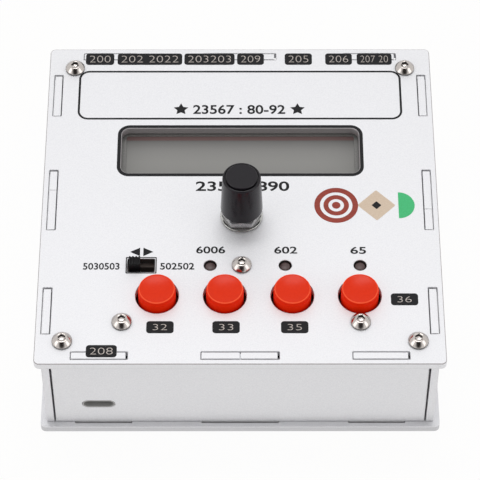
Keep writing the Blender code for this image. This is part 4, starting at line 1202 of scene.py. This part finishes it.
@dataclass
class Buttons:
    """The four red caps and the key switches under them.

    Attributes:
        sink: How far a cap stands below its CAD node's top.
        step: Width of the step round the skirt.
        step_drop: How far below the top the step lies.
        rim_steps: Steps of the round edge that wear the lighter red of the painted highlight.
    """

    fillet_radius: float = 0.00045
    dish: float = 0.0005
    sink: float = 0.00025
    step: float = 0.00015
    step_drop: float = 0.0012
    stem: float = 0.0033
    stem_depth: float = 0.0018
    rim_gap: float = 0.0008
    arris: float = 0.0002
    rim_steps: int = 4

    def cap(self, node: str) -> Shape:
        """A cap: stem, stepped skirt, a round edge and a dish that falls by dish * (1 - share ** 2).

        Args:
            node: The cap's CAD node.

        Returns:
            The shape, in place.
        """
        box = box_of(node)
        bottom, top = box.low[2], box.high[2] - self.sink
        radius = box.size[0] / 2
        rim = bottom + self.stem_depth + self.rim_gap
        arc = self.fillet_radius
        flat = radius - self.step - arc
        ledge = top - self.step_drop
        profile = [(0.0, bottom), (self.stem - self.arris, bottom), (self.stem, bottom + self.arris)]
        profile += [(self.stem, rim), (radius - self.arris, rim), (radius, rim + self.arris)]
        profile += [(radius, ledge), (radius - self.step, ledge + self.step)]
        profile += fillet((flat, top - arc), arc, 0, 90, 8)
        glossy = len(profile) - 2
        profile += [(share * flat, top - self.dish * (1 - share ** 2))
                    for share in np.linspace(1, 0, 13)[1:].tolist()]
        coats = np.zeros(len(profile) - 1, int)
        coats[:glossy] = 1
        # The upper steps of the round edge wear the lighter red: a painted highlight.
        coats[glossy - self.rim_steps:glossy] = 2
        return Shape().turned(profile, box.centre, 96, coats=coats)

    def build(self) -> None:
        """Builds the caps and dresses the switches."""
        for cap, switch in zip(numbered("button_cap", 4), numbered("button_switch", 4)):
            stand_in(cap, "moulding", self.cap(cap), (RED_ABS, MATT_RED_ABS, PAINTED_RIM_HIGHLIGHT))
            dress(switch, BLACK_NYLON)
        dress("button_board", SOLDER_MASK)


@dataclass
class ModeSwitch:
    """The slide switch: its housing and steel cover with a slot, and the ribbed lever."""

    travel: float = 0.0036
    clearance: float = 0.00015
    floor_gap: float = 0.0002
    rib_depth: float = 0.00035
    ribs: int = 4
    cover: float = 0.0004
    corner: float = 0.0004
    arris: float = 0.0001
    lever_arris: float = 0.00008

    def build(self) -> None:
        """Builds the housing, the cover and the lever."""
        node = "slide_switch_body"
        box, lever = box_of(node), box_of("slide_switch_lever")
        slot = lever.size[:2] + np.array([self.travel, 0.0]) + 2 * self.clearance
        floor = lever.low[2] - self.floor_gap
        bottom, top = box.low[2], box.high[2] - self.cover
        outer = rounded(rectangle(box.centre, box.size), self.corner, 4)
        inner = rounded(rectangle(box.centre, slot), self.arris, 4)
        body = Shape().fill([outer], bottom).sweep([outer, outer, inner, inner], [bottom, top, top, floor])
        # The housing is lighter than its shade would show: painted light in the deep slot.
        stand_in(node, "housing", body.fill([inner], floor), LIT_BROWN_PHENOLIC)
        cover = Shape().prism([outer, inner], top, box.high[2], self.arris)
        stand_in(node, "cover", cover, BROWNED_STEEL)
        self.lever(*lever)

    def lever(self, low: Array, high: Array) -> None:
        """The lever: its outline, with grooves in the top, carried across its depth.

        Args:
            low: Lowest corner of its CAD node.
            high: Highest corner.
        """
        pitch = (high - low)[0] / (2 * self.ribs - 1)
        groove = high[2] - self.rib_depth
        corners = [(low[0], low[2]), (high[0], low[2])]
        for rib in range(self.ribs):
            right = high[0] - 2 * rib * pitch
            left = right - pitch
            corners += [(right, high[2]), (left, high[2])]
            if rib < self.ribs - 1:
                corners += [(left, groove), (left - pitch, groove)]
        outline = rounded(np.array(corners), self.arris, 3)
        shape = Shape(Axes.ALONG_Y).prism([outline], low[1], high[1], self.lever_arris)
        stand_in("slide_switch_lever", "knob", shape, BLACK_ACETAL)


@dataclass
class Lamps:
    """The three domed indicator lamps.

    Attributes:
        rise: How far a dome stands above its CAD node.
        overlap: How far a lead reaches into the lamp's foot.
    """

    radius: float = 0.0015
    dome: float = 0.0005
    rise: float = 0.0004
    flange: float = 0.0019
    flange_height: float = 0.0010
    length: float = 0.0053
    lead: float = 0.0005
    lead_pitch: float = 0.0018
    lead_radius: float = 0.0001
    overlap: float = 0.00001

    def build(self) -> None:
        """Builds each lamp: leads, flange, and a body that ends in a flat dome of elliptic profile."""
        for node in numbered("indicator_lamp", 3):
            box = box_of(node)
            top = box.high[2] + self.rise
            foot = box.high[2] - self.length
            ledge = foot + self.flange_height
            profile = [(0.0, foot), (self.flange, foot), (self.flange, ledge), (self.radius, ledge)]
            profile += [(self.radius * math.cos(t), top - self.dome * (1 - math.sin(t)))
                        for t in np.linspace(0, math.pi / 2, 11).tolist()]
            stand_in(node, "epoxy", Shape().turned(profile, box.centre, 48), LAMP_EPOXY)
            leads = Shape()
            for side in (-1, 1):
                place = box.centre[:2] + np.array([side * self.lead_pitch / 2, 0.0])
                outline = rounded(rectangle(place, (self.lead, self.lead)), self.lead_radius, 2)
                leads.prism([outline], box.low[2], foot + self.overlap)
            add_piece(f"{node}_leads", leads, TINNED_STEEL, "case")


@dataclass
class SpeedKnob:
    """The encoder's washer, nut, shaft and body, and the knob on it.

    Attributes:
        hole: Radius of the hole in washer and nut, which the bushing fills.
        lead: Bevel at the ends of the nut's hole.
        face_share: Radius of the nut's round faces, as a share of its flats' radius.
        nut_rows: Heights on the nut's side, as shares of its thickness.
        washer_round: Radius of the washer's edge, as a share of its thickness.
        draft: Where on its arc the knob's edge starts, in degrees, so that it meets the tapered side.
        lip: How far the top disc's middle lies below its rim.
    """

    steps: int = 120
    hole: float = 0.00365
    lead: float = 0.0003
    nut_chamfer: float = 0.0003
    face_share: float = 0.97
    nut_rows: tuple[float, ...] = (0, 0.12, 0.3, 0.7, 0.88, 1.0)
    washer_round: float = 0.35
    knob_base: float = 0.0059
    base_arris: float = 0.0002
    knob_top: float = 0.00535
    bore: float = 0.0031
    cap_thickness: float = 0.0022
    edge: float = 0.0005
    draft: float = 4.0
    shoulder: float = 0.0005
    disc: float = 0.00438
    groove: float = 0.00042
    groove_depth: float = 0.0006
    lip: float = 0.00012

    def nut(self) -> Shape:
        """The nut: its outer radius is the smaller of the hexagon's and of a cone at either face.

        Returns:
            The shape, in place.
        """
        box = box_of("encoder_nut")
        bottom, top = box.low[2], box.high[2]
        corner = box.size[0] / 2
        face = corner * math.cos(math.pi / 6) * self.face_share
        levels = np.array(self.nut_rows) * box.size[2]
        depth = np.minimum(levels, levels[-1] - levels)
        cone = np.minimum(face + depth * (corner - face) / self.nut_chamfer, corner)
        rows = [(self.hole, bottom + self.lead), (self.hole + self.lead, bottom)]
        rows += [(corner, bottom + level) for level in levels.tolist()]
        rows += [(self.hole + self.lead, top), (self.hole, top - self.lead), (self.hole, bottom + self.lead)]
        factors = np.ones((len(rows), self.steps))
        factors[2:2 + len(levels)] = np.minimum(hexagon_share(self.steps)[None], (cone / corner)[:, None])
        return Shape().turned(rows, box.centre, self.steps, factors)

    def washer(self) -> Shape:
        """The washer: a flat ring with rounded edges.

        Returns:
            The shape, in place.
        """
        box = box_of("encoder_washer")
        bottom, top = box.low[2], box.high[2]
        arc = box.size[2] * self.washer_round
        side = box.size[0] / 2 - arc
        rows = [(self.hole, bottom), (side, bottom)]
        rows += fillet((side, top - arc), arc, 0, 90)
        rows += [(self.hole, top), (self.hole, bottom)]
        # Painted shade: the underside and the lower part of the round edge wear the dark grey.
        coats = [0, 1, 1] + [0] * (len(rows) - 4)
        return Shape().turned(rows, box.centre, self.steps, coats=coats)

    def knob(self) -> Shape:
        """The knob: bore, tapered side, rounded shoulder, and a groove round the raised top disc.

        Returns:
            The shape, in place.
        """
        box = box_of("knob")
        bottom, top = box.low[2], box.high[2]
        ceiling = top - self.cap_thickness
        rows = [(0.0, ceiling), (self.bore, ceiling), (self.bore, bottom)]
        rows += [(self.knob_base - self.base_arris, bottom), (self.knob_base, bottom + self.base_arris)]
        level = top - self.shoulder
        rows += fillet((self.knob_top - self.edge, level - self.edge), self.edge, self.draft, 90, 8)
        outer = self.disc + self.groove
        rows += [(outer, level), (outer, level - self.groove_depth), (self.disc, level - self.groove_depth)]
        rows += [(self.disc, top - self.lip), (self.disc - self.lip, top)]
        rows += [(self.disc / 2, top - self.lip / 2), (0.0, top - self.lip)]
        return Shape().turned(rows, box.centre, self.steps)

    def build(self) -> None:
        """Builds washer, nut and knob, and dresses the parts inside."""
        shade_edged = (NICKEL_PLATE, PAINTED_SHADE_GREY)
        stand_in("encoder_washer", "ring", self.washer(), shade_edged)
        stand_in("encoder_nut", "hexagon", self.nut(), ZINC_PLATE)
        stand_in("knob", "moulding", self.knob(), BLACK_KNOB_ABS)
        dress("encoder_body", NICKEL_PLATE)
        dress("encoder_shaft", NICKEL_PLATE)
        dress("encoder_push_rod", BLACK_NYLON)


@dataclass
class Sockets:
    """The USB sockets at the front and back, and the five audio sockets.

    Attributes:
        mouth_round: Bevel at a shell's mouth, as a share of its wall.
        usb_c_tongue: Width, height and length of the tongue.
        usb_c_contacts: Count, pitch and width of the contacts on either face of the tongue.
        usb_c_ends: How far the contacts stay off the tongue's root and its tip.
        usb_a_tongue: Height and length of the tongue.
        usb_a_contacts: Places of the contacts along X, from the middle.
        usb_a_contact: Width of a contact, and its length as a share of the tongue's.
        sleeve_ends: Where a sleeve contact starts and ends, as depths in its bore.
    """

    mouth_round: float = 0.3
    least_radius: float = 0.0001
    usb_c_shell: float = 0.0003
    usb_c_tongue: Point = (0.0067, 0.0007, 0.0045)
    usb_c_tip: float = 0.35
    usb_c_arris: float = 0.0001
    usb_c_cavity: float = 0.0060
    usb_c_contacts: tuple[int, float, float] = (12, 0.0005, 0.00026)
    usb_c_ends: Place = (0.0004, 0.0007)
    usb_a_shell: float = 0.0004
    usb_a_radius: float = 0.0004
    usb_a_tongue: Place = (0.0019, 0.0085)
    usb_a_arris: float = 0.0002
    usb_a_tongue_gap: float = 0.0007
    usb_a_cavity: float = 0.0115
    usb_a_contacts: tuple[float, ...] = (-0.0035, -0.001, 0.001, 0.0035)
    usb_a_contact: Place = (0.001, 0.8)
    contact_height: float = 0.00006
    block_gap: float = 0.0003
    block_radius: float = 0.0003
    nozzle: float = 0.0025
    bore: float = 0.0018
    bore_depth: float = 0.0110
    nozzle_chamfer: float = 0.0003
    sleeve_clearance: float = 0.00002
    sleeve_wall: float = 0.00015
    sleeve_ends: Place = (0.0030, 0.0009)

    def shell(self, node: str, wall: float, cavity: float, radius: float, side: int) -> Shape:
        """A drawn shell: outlines swept along its side, over the mouth's edge and back into the cavity.

        Args:
            node: The socket's CAD node.
            wall: Thickness of the shell.
            cavity: Depth of the cavity.
            radius: Corner radius of the outline, at most half its height.
            side: -1 if the mouth faces the front, 1 if it faces the back.

        Returns:
            The shell's shape.
        """
        box = box_of(node)
        root, mouth = (box.low[1], box.high[1])[::side]
        edge = wall * self.mouth_round
        insets = [0.0, 0.0, edge, wall - edge, wall, wall]
        levels = [root, mouth - side * edge, mouth, mouth, mouth - side * edge, mouth - side * cavity]
        loops = [rounded(rectangle(box.centre[[0, 2]], box.size[[0, 2]] - 2 * inset),
                         max(radius - inset, self.least_radius), 12) for inset in insets]
        shape = Shape(Axes.ALONG_Y).sweep(loops, levels)
        return shape.fill(loops[:1], root).fill(loops[-1:], levels[-1])

    def usb_c(self, node: str, side: int) -> None:
        """A USB-C socket: shell, tongue and gold contacts on both faces of the tongue.

        Args:
            node: Its CAD node.
            side: -1 if the mouth faces the front, 1 if it faces the back.
        """
        box = box_of(node)
        middle = box.centre
        shell = self.shell(node, self.usb_c_shell, self.usb_c_cavity, box.size[2] / 2 - WELD, side)
        stand_in(node, "shell", shell, MATT_TIN)
        mouth = box.high[1] if side > 0 else box.low[1]
        root = mouth - side * self.usb_c_cavity
        width, height, length = self.usb_c_tongue
        tip = root + side * length
        outline = rounded(rectangle(middle[[0, 2]], (width, height)), height * self.usb_c_tip, 4)
        tongue = Shape(Axes.ALONG_Y).prism([outline], min(root, tip), max(root, tip), self.usb_c_arris)
        add_piece(f"{node}_tongue", tongue, BLACK_NYLON, "case")
        count, pitch, wide = self.usb_c_contacts
        places = middle[0] + (np.arange(count) - (count - 1) / 2) * pitch
        start, end = sorted((root + side * self.usb_c_ends[0], tip - side * self.usb_c_ends[1]))
        contacts = Shape()
        for face in (-1, 1):
            reaches = (height / 2, height / 2 + self.contact_height)
            levels = sorted(middle[2] + face * reach for reach in reaches)
            for place in places.tolist():
                contacts.prism([rectangle((place, (start + end) / 2), (wide, end - start))], *levels)
        add_piece(f"{node}_contacts", contacts, GOLD_PLATE, "case")

    def usb_a(self, node: str) -> None:
        """The USB-A socket: shell, tongue and four contacts under the tongue.

        Args:
            node: Its CAD node.
        """
        box = box_of(node)
        middle = box.centre[0]
        shell = self.shell(node, self.usb_a_shell, self.usb_a_cavity, self.usb_a_radius, 1)
        stand_in(node, "shell", shell, TINNED_STEEL)
        height, length = self.usb_a_tongue
        inset = self.usb_a_shell + self.usb_a_tongue_gap
        top = box.high[2] - inset
        root = box.high[1] - self.usb_a_cavity
        outline = rectangle((middle, top - height / 2), (box.size[0] - 2 * inset, height))
        tongue = Shape(Axes.ALONG_Y).prism([rounded(outline, self.usb_a_arris, 3)], root, root + length,
                                           self.usb_a_arris)
        add_piece(f"{node}_tongue", tongue, BLACK_NYLON, "case")
        contacts = Shape()
        wide, share = self.usb_a_contact
        for place in self.usb_a_contacts:
            outline = rectangle((middle + place, root + length / 2), (wide, length * share))
            contacts.prism([outline], top - height - self.contact_height, top - height)
        add_piece(f"{node}_contacts", contacts, GOLD_PLATE, "case")

    def jack(self, node: str) -> None:
        """An audio socket: a block, its nozzle through the wall, and the sleeve contact in its bore.

        Args:
            node: Its CAD node.
        """
        box = box_of(node)
        face = box_of("rear_wall").low[1] - self.block_gap
        centre = box.centre[[0, 2]]
        mouth = box.high[1]
        block = rounded(rectangle(centre, box.size[[0, 2]]), self.block_radius, 10)
        spokes = np.arctan2(*(block - centre).T[::-1])
        circle = np.column_stack([np.cos(spokes), np.sin(spokes)])
        lead = self.nozzle_chamfer
        radii = (self.nozzle, self.nozzle, self.nozzle - lead / 2, self.bore + lead / 2, self.bore, self.bore)
        loops = [block, block] + [centre + radius * circle for radius in radii]
        levels = [box.low[1], face, face, mouth - lead / 2, mouth, mouth, mouth - lead,
                  mouth - self.bore_depth]
        shape = Shape(Axes.ALONG_Y).sweep(loops, levels)
        shape.fill(loops[:1], levels[0]).fill(loops[-1:], levels[-1])
        stand_in(node, "block", shape, BLACK_NYLON)
        sleeve = self.bore - self.sleeve_clearance
        inner = sleeve - self.sleeve_wall
        start, end = (mouth - depth for depth in self.sleeve_ends)
        rows = [(inner, start), (sleeve, start), (sleeve, end), (inner, end), (inner, start)]
        contact = Shape(Axes.ALONG_Y).turned(rows, centre, 48)
        add_piece(f"{node}_sleeve_contact", contact, TINNED_STEEL, "case")

    def build(self) -> None:
        """Builds all sockets."""
        self.usb_c("front_usb_c_socket", -1)
        self.usb_c("rear_usb_c_socket", 1)
        self.usb_a("usb_a_socket")
        for node in numbered("audio_jack", 5):
            self.jack(node)


@dataclass
class PanelPrint:
    """The top plate's prints: screen printed outlines, numbered labels, marks and an ornament, and a thin
    black ring round the mode switch's window.

    Places are in metres on the plate. Every print is a thin closed film that lies on the plate.

    Attributes:
        line: Width of the name plate's outline.
        window_line: Width of the outline round the display's window.
        switch_line: The same round the mode switch's window.
        rear_labels: Left and right edge of each label of the rear sockets.
        rear_label_rows: Front and back edge of those labels.
        button_labels: Middle of each button's label.
        black_weight: How far the black numerals are widened, as a share of the font's size.
        silver_weight: The same for the numerals on the labels.
        label_inset: How far the numerals stay off a label's ends and its long sides.
        marks_at: Numerals with the left, front, right and back edge of their box.
        star_waist: Radius of a star's inner corners, as a share of its own.
        bands: Outer and inner radius of the ornament's rings.
        diamond: Place along X, radius and corner radius of its diamond.
        core: Radius and corner radius of the small diamond in it.
        half_disc: Place along X and radius of its half disc.
    """

    ink: float = 0.00003
    line: float = 0.00062
    label_radius: float = 0.0009
    name_plate: tuple[float, ...] = (-0.0472, 0.02919, 0.0472, 0.04763)
    name_plate_radius: float = 0.0031
    window_line: float = 0.0012
    switch_line: float = 0.0005
    rear_labels: tuple[Place, ...] = (
        (-0.04545, -0.03711), (-0.0361, -0.01705), (-0.01639, -0.00156), (-0.00082, 0.00709),
        (0.01324, 0.02128), (0.0252, 0.03308), (0.03452, 0.04482))
    rear_label_rows: Place = (0.04994, 0.05434)
    rear_words: tuple[str, ...] = ("200", "202 2022", "203203", "209", "205", "206", "207 20")
    button_labels: tuple[Place, ...] = (
        (-0.0219, -0.04388), (-0.00384, -0.04389), (0.01491, -0.0439), (0.04526, -0.03462))
    button_words: tuple[str, ...] = ("32", "33", "35", "36")
    button_label_size: Place = (0.0075, 0.0040)
    front_label: Place = (-0.03768, -0.05176)
    front_label_size: Place = (0.0084, 0.0040)
    front_word: str = "208"
    black_weight: float = 0.018
    silver_weight: float = -0.022
    label_inset: Place = (0.0011, 0.0009)
    button_inset: Place = (0.0018, 0.001)
    marks_at: tuple[tuple[str, float, float, float, float], ...] = (
        ("2356/7890", -0.01259, 0.00298, 0.0140, 0.0065),
        ("23567 : 80-92", -0.01362, 0.0312, 0.01316, 0.03465),
        ("6006", -0.01226, -0.01895, -0.00415, -0.0165), ("602", 0.00954, -0.01903, 0.01593, -0.01658),
        ("65", 0.03078, -0.01913, 0.03517, -0.01668), ("5030503", -0.04364, -0.0245, -0.0335, -0.0222),
        ("502502", -0.02222, -0.0245, -0.01273, -0.0222))
    arrow_row: float = -0.0184
    arrow: Place = (0.00275, 0.0029)
    arrow_places: Place = (-0.02928, -0.0256)
    star_row: float = 0.0330
    star_places: Place = (-0.01715, 0.01674)
    star: float = 0.00222
    star_waist: float = 0.5
    ornament_row: float = -0.0021
    bands_at: float = 0.0272
    bands: tuple[Place, ...] = ((0.0062, 0.0046), (0.0036, 0.0022))
    bull: float = 0.0012
    diamond: Point = (0.0386, 0.0054, 0.0004)
    core: Place = (0.0014, 0.0002)
    half_disc: Place = (0.0448, 0.0046)

    def __post_init__(self) -> None:
        """Starts the prints' shapes on the plate's upper face."""
        self.level = float(box_of("top_plate").high[2])
        self.black = Shape()
        self.silver = Shape()

    def film(self, shape: Shape, loops: Sequence[Array], layer: int = 0) -> None:
        """Adds a film in the given layer above the plate."""
        low = self.level + layer * self.ink
        shape.prism(loops, low, low + self.ink)

    def drawn(self, words: str, weight: float) -> tuple[Array, list[list[int]]]:
        """Draws numerals as flat faces.

        Args:
            words: The numerals.
            weight: How far the strokes are widened, as a share of the font's size.

        Returns:
            Points, and faces that index them.
        """
        curve = bpy.data.curves.new("numerals", "FONT")
        curve.body = words
        curve.offset = weight
        curve.resolution_u = 4
        made = link("numerals", curve)
        bpy.context.view_layer.update()
        mesh = bpy.data.meshes.new_from_object(made.evaluated_get(bpy.context.evaluated_depsgraph_get()))
        points = np.empty(len(mesh.vertices) * 3, np.float32)
        mesh.vertices.foreach_get("co", points)
        faces = [list(face.vertices) for face in mesh.polygons]
        bpy.data.objects.remove(made)
        bpy.data.curves.remove(curve)
        bpy.data.meshes.remove(mesh)
        return points.reshape(-1, 3).astype(float), faces

    def text(self, shape: Shape, words: str, box: Sequence[float], weight: float, layer: int = 0) -> None:
        """Adds numerals that fill a box: their faces, the same on the film's upper side, and its rim.

        Args:
            shape: The print that they are part of.
            words: The numerals.
            box: Left, front, right and back edge of the box.
            weight: How far the strokes are widened, as a share of the font's size.
            layer: The film's layer above the plate.
        """
        points, faces = self.drawn(words, weight)
        low, high = points.min(axis=0)[:2], points.max(axis=0)[:2]
        corner = np.array(box[:2])
        flat = corner + (points[:, :2] - low) / (high - low) * (np.array(box[2:]) - corner)
        points = np.column_stack([flat, np.full(len(flat), self.level + layer * self.ink)])
        edges = np.array([edge for face in faces for edge in zip(face, face[1:] + face[:1])])
        _, first, uses = np.unique(np.sort(edges, axis=1), axis=0, return_index=True, return_counts=True)
        rims = edges[first[uses == 1]]
        count, base = len(points), shape.count
        sides = np.column_stack([rims, rims[:, ::-1] + count]) + base
        both = [[vertex + start for vertex in face] for start in (base, base + count) for face in faces]
        both += sides.tolist()
        shape.add(np.concatenate([points, points + (0.0, 0.0, self.ink)]), both, [False] * len(both))

    def outline(self, centre: Sequence[float], size: Array, radius: float, outer: float,
                inner: float) -> None:
        """Adds a black outline between two margins round a rounded rectangle.

        Args:
            centre: The rectangle's middle.
            size: Its width and depth.
            radius: Its corner radius.
            outer: How far the print reaches beyond it.
            inner: How far beyond it the print starts.
        """
        margins = (outer, inner)
        loops = [rounded(rectangle(centre, size + 2 * margin), radius + margin, 10) for margin in margins]
        self.film(self.black, loops)

    def outlines(self) -> None:
        """The outlines of the name plate and the display's window, and a thin black ring round the mode
        switch's window.
        """
        left, front, right, back = self.name_plate
        size = np.array([right - left, back - front])
        self.outline(((left + right) / 2, (front + back) / 2), size, self.name_plate_radius, 0.0, -self.line)
        case = Case()
        self.outline(centre_of("display_frame"), case.window_size(), case.window_radius, self.window_line,
                     case.arris)
        opening, place = np.array(case.switch_window), centre_of("slide_switch_body")
        self.film(self.black, [rounded(rectangle(place, opening + 2 * margin), case.arris, 4)
                               for margin in (self.switch_line, case.arris)])

    def label(self, words: str, centre: Sequence[float], size: Sequence[float], inset: Place) -> None:
        """A black rounded label with bare metal numerals.

        Args:
            words: The numerals.
            centre: The label's middle.
            size: Its width and depth.
            inset: How far the numerals stay off its edges.
        """
        middle, half = np.array(centre), np.array(size) / 2
        self.film(self.black, [rounded(rectangle(centre, size), self.label_radius, 6)])
        box = [*(middle - half + inset), *(middle + half - inset)]
        self.text(self.silver, words, box, self.silver_weight, 1)

    def labels(self) -> None:
        """Numbered labels of the sockets and the buttons."""
        low, high = self.rear_label_rows
        for words, (left, right) in zip(self.rear_words, self.rear_labels):
            centre = (left + right) / 2, (low + high) / 2
            self.label(words, centre, (right - left, high - low), self.label_inset)
        for words, centre in zip(self.button_words, self.button_labels):
            self.label(words, centre, self.button_label_size, self.button_inset)
        self.label(self.front_word, self.front_label, self.front_label_size, self.label_inset)

    def marks(self) -> None:
        """The numbers at the knob, the lamps and the mode switch, its arrows and the stars."""
        for words, *box in self.marks_at:
            self.text(self.black, words, box, self.black_weight)
        length, height = self.arrow
        for place, side in zip(self.arrow_places, (-1, 1)):
            tip = (place + side * length / 2, self.arrow_row)
            tails = [(place - side * length / 2, self.arrow_row + sign * height / 2) for sign in (1, -1)]
            self.film(self.black, [np.array([tip, *tails])])
        radii = np.tile([self.star, self.star * self.star_waist], 5)[:, None]
        for place in self.star_places:
            corners = (place, self.star_row) + radii * ring((0.0, 0.0), 1.0, 10, math.pi / 2)
            self.film(self.black, [corners])

    def ornament(self) -> None:
        """A generic geometric row: russet rings, a cream diamond and a green half disc on one line."""
        green, cream, russet = Shape(), Shape(), Shape()
        centre = (self.bands_at, self.ornament_row)
        for outer, inner in self.bands:
            self.film(russet, [ring(centre, outer, 72), ring(centre, inner, 72)])
        self.film(russet, [ring(centre, self.bull, 48)])
        place, radius, corner = self.diamond
        centre = (place, self.ornament_row)
        self.film(cream, [rounded(ring(centre, radius, 4), corner, 4)])
        self.film(self.black, [rounded(ring(centre, self.core[0], 4), self.core[1], 3)], 1)
        place, radius = self.half_disc
        turns = np.linspace(-math.pi / 2, math.pi / 2, 40)
        half = np.column_stack([place + radius * np.cos(turns), self.ornament_row + radius * np.sin(turns)])
        self.film(green, [half])
        add_piece("panel_print_green", green, GREEN_INK, "case")
        add_piece("panel_print_cream", cream, CREAM_INK, "case")
        add_piece("panel_print_russet", russet, RUSSET_INK, "case")

    def build(self) -> None:
        """Builds all prints and adds them as a few pieces."""
        self.outlines()
        self.labels()
        self.marks()
        self.ornament()
        add_piece("panel_print_black", self.black, BLACK_INK, "case")
        add_piece("panel_print_numerals", self.silver, NUMERAL_METAL, "case")


@dataclass
class MainBoard:
    """The main board and the parts on it that nothing else covers."""

    def build(self) -> None:
        """Dresses the board, the processor and the sounder."""
        dress("main_board", SOLDER_MASK)
        dress("microcontroller", BLACK_NYLON)
        dress("sounder", BLACK_NYLON)


@dataclass
class Studio:
    """A plain white floor and sky, soft lamps, and the camera.

    Attributes:
        floor_lift: Share of pure white in the floor where it is seen, so that its shadow stays soft.
        flag_way: Direction towards the dark side of the studio, which only mirrored rays meet.
        flag_edge: Where that dark starts and is full, as the cosine of the angle from its direction.
        camera_turn: The camera's turn about the upright axis.
        focal_pixels: Focal length in pixels of the photograph, which is image pixels wide.
    """

    floor_size: float = 3.0
    floor_colour: str = "#F8F4EE"
    floor_lift: float = 0.94
    sky_colour: str = "#DCDCDC"
    flag_way: Point = (0.0, -0.76, 0.65)
    flag_edge: Place = (0.79, 0.966)
    flag_colour: str = "#2E2A28"
    key_power: float = 1.65
    key_size: Place = (0.5, 0.2)
    key_place: Point = (-0.04, 0.26, 1.0)
    side_power: float = 1.0
    side_size: Place = (0.5, 0.5)
    side_place: Point = (0.9, -0.35, 0.45)
    camera_place: Point = (-0.000313, -0.437924, 0.610754)
    camera_tilt: float = math.pi / 2 - 0.9347
    camera_turn: float = -0.0007
    sensor: float = 36.0
    nearest: float = 0.01
    focal_pixels: float = 2546.9
    image: int = 480

    def rays(self, tree: Tree) -> tuple[Socket, Socket]:
        """Two factors: one for rays from the camera or through glass, and one for mirrored rays.

        Args:
            tree: The node tree that they are added to.

        Returns:
            The two sockets.
        """
        path = add_node(tree, "ShaderNodeLightPath", {}, {}).outputs
        direct = maths(tree, "MAXIMUM", path["Is Camera Ray"], path["Is Transmission Ray"])
        return direct, path["Is Glossy Ray"]

    def floor(self) -> None:
        """A flat round floor at the feet's level: white, with the object's shadow."""
        mesh = Shape().fill([ring((0.0, 0.0), self.floor_size, 128)], 0.0).mesh("floor")
        made = link("floor", mesh)
        finish = bpy.data.materials.new("matt_white_paper")
        tree = emptied(finish)
        direct, mirrored = self.rays(tree)
        share = maths(tree, "MAXIMUM", maths(tree, "MULTIPLY", direct, self.floor_lift), mirrored)
        paper = add_node(tree, "ShaderNodeBsdfDiffuse", {}, {"Color": linear(self.floor_colour)})
        white = add_node(tree, "ShaderNodeEmission", {}, {"Color": WHITE, "Strength": 1.0})
        both = add_node(tree, "ShaderNodeMixShader", {}, {
            0: share, 1: paper.outputs[0], 2: white.outputs[0]})
        add_node(tree, "ShaderNodeOutputMaterial", {}, {"Surface": both.outputs[0]})
        mesh.materials.append(finish)

    def sky(self) -> None:
        """An even sky: white where it is seen or mirrored, with the dark of the camera's side in mirrors."""
        world = bpy.data.worlds.new("studio_sky")
        bpy.context.scene.world = world
        tree = emptied(world)
        way = add_node(tree, "ShaderNodeTexCoord", {}, {}).outputs["Generated"]
        nearness = add_node(tree, "ShaderNodeVectorMath", {"operation": "DOT_PRODUCT"}, {
            0: way, 1: self.flag_way})
        flag = add_node(tree, "ShaderNodeMapRange", {"interpolation_type": "SMOOTHSTEP"}, {
            "Value": nearness.outputs["Value"], "From Min": self.flag_edge[0], "From Max": self.flag_edge[1]})
        direct, mirrored = self.rays(tree)
        reflected = mix_colours(tree, flag.outputs[0], WHITE, linear(self.flag_colour))
        unseen = mix_colours(tree, mirrored, linear(self.sky_colour), reflected)
        colour = mix_colours(tree, direct, unseen, WHITE)
        background = add_node(tree, "ShaderNodeBackground", {}, {"Color": colour, "Strength": 1.0})
        add_node(tree, "ShaderNodeOutputWorld", {}, {"Surface": background.outputs[0]})

    def lamp(self, name: str, place: Point, size: Place, power: float) -> None:
        """A soft lamp that faces the object.

        Args:
            name: The lamp's name.
            place: Where it stands.
            size: Its size across and up.
            power: Its power in watts.
        """
        lamp = bpy.data.lights.new(name, "AREA")
        lamp.shape = "RECTANGLE"
        lamp.size, lamp.size_y = size
        lamp.energy = power
        made = link(name, lamp)
        made.location = place
        direction = -made.location
        made.rotation_euler = direction.to_track_quat("-Z", "Y").to_euler()

    def camera(self) -> None:
        """The camera at the photograph's place and angle."""
        lens = bpy.data.cameras.new("camera")
        lens.sensor_width = self.sensor
        lens.lens = self.focal_pixels / self.image * self.sensor
        lens.clip_start = self.nearest
        made = link("camera", lens)
        made.location = self.camera_place
        made.rotation_euler = (self.camera_tilt, 0.0, self.camera_turn)
        bpy.context.scene.camera = made

    def build(self) -> None:
        """Sets up the camera, the sky, the floor and the lamps."""
        bpy.context.scene.view_settings.view_transform = "Standard"
        self.camera()
        self.sky()
        self.floor()
        self.lamp("overhead_softbox", self.key_place, self.key_size, self.key_power)
        for name, side in (("left_softbox", -1), ("right_softbox", 1)):
            place = (side * self.side_place[0], *self.side_place[1:])
            self.lamp(name, place, self.side_size, self.side_power)


def main() -> None:
    """Builds the studio and then the keyer, sub-assembly by sub-assembly."""
    logging.basicConfig(level=logging.INFO, format="%(name)s: %(message)s")
    Studio().build()
    for part in (Case(), Screws(), Supports(), MainBoard(), Display(), Buttons(), ModeSwitch(), Lamps(),
                 SpeedKnob(), Sockets(), PanelPrint()):
        LOG.info("building %s", type(part).__name__)
        part.build()


if __name__ == "__main__":
    main()
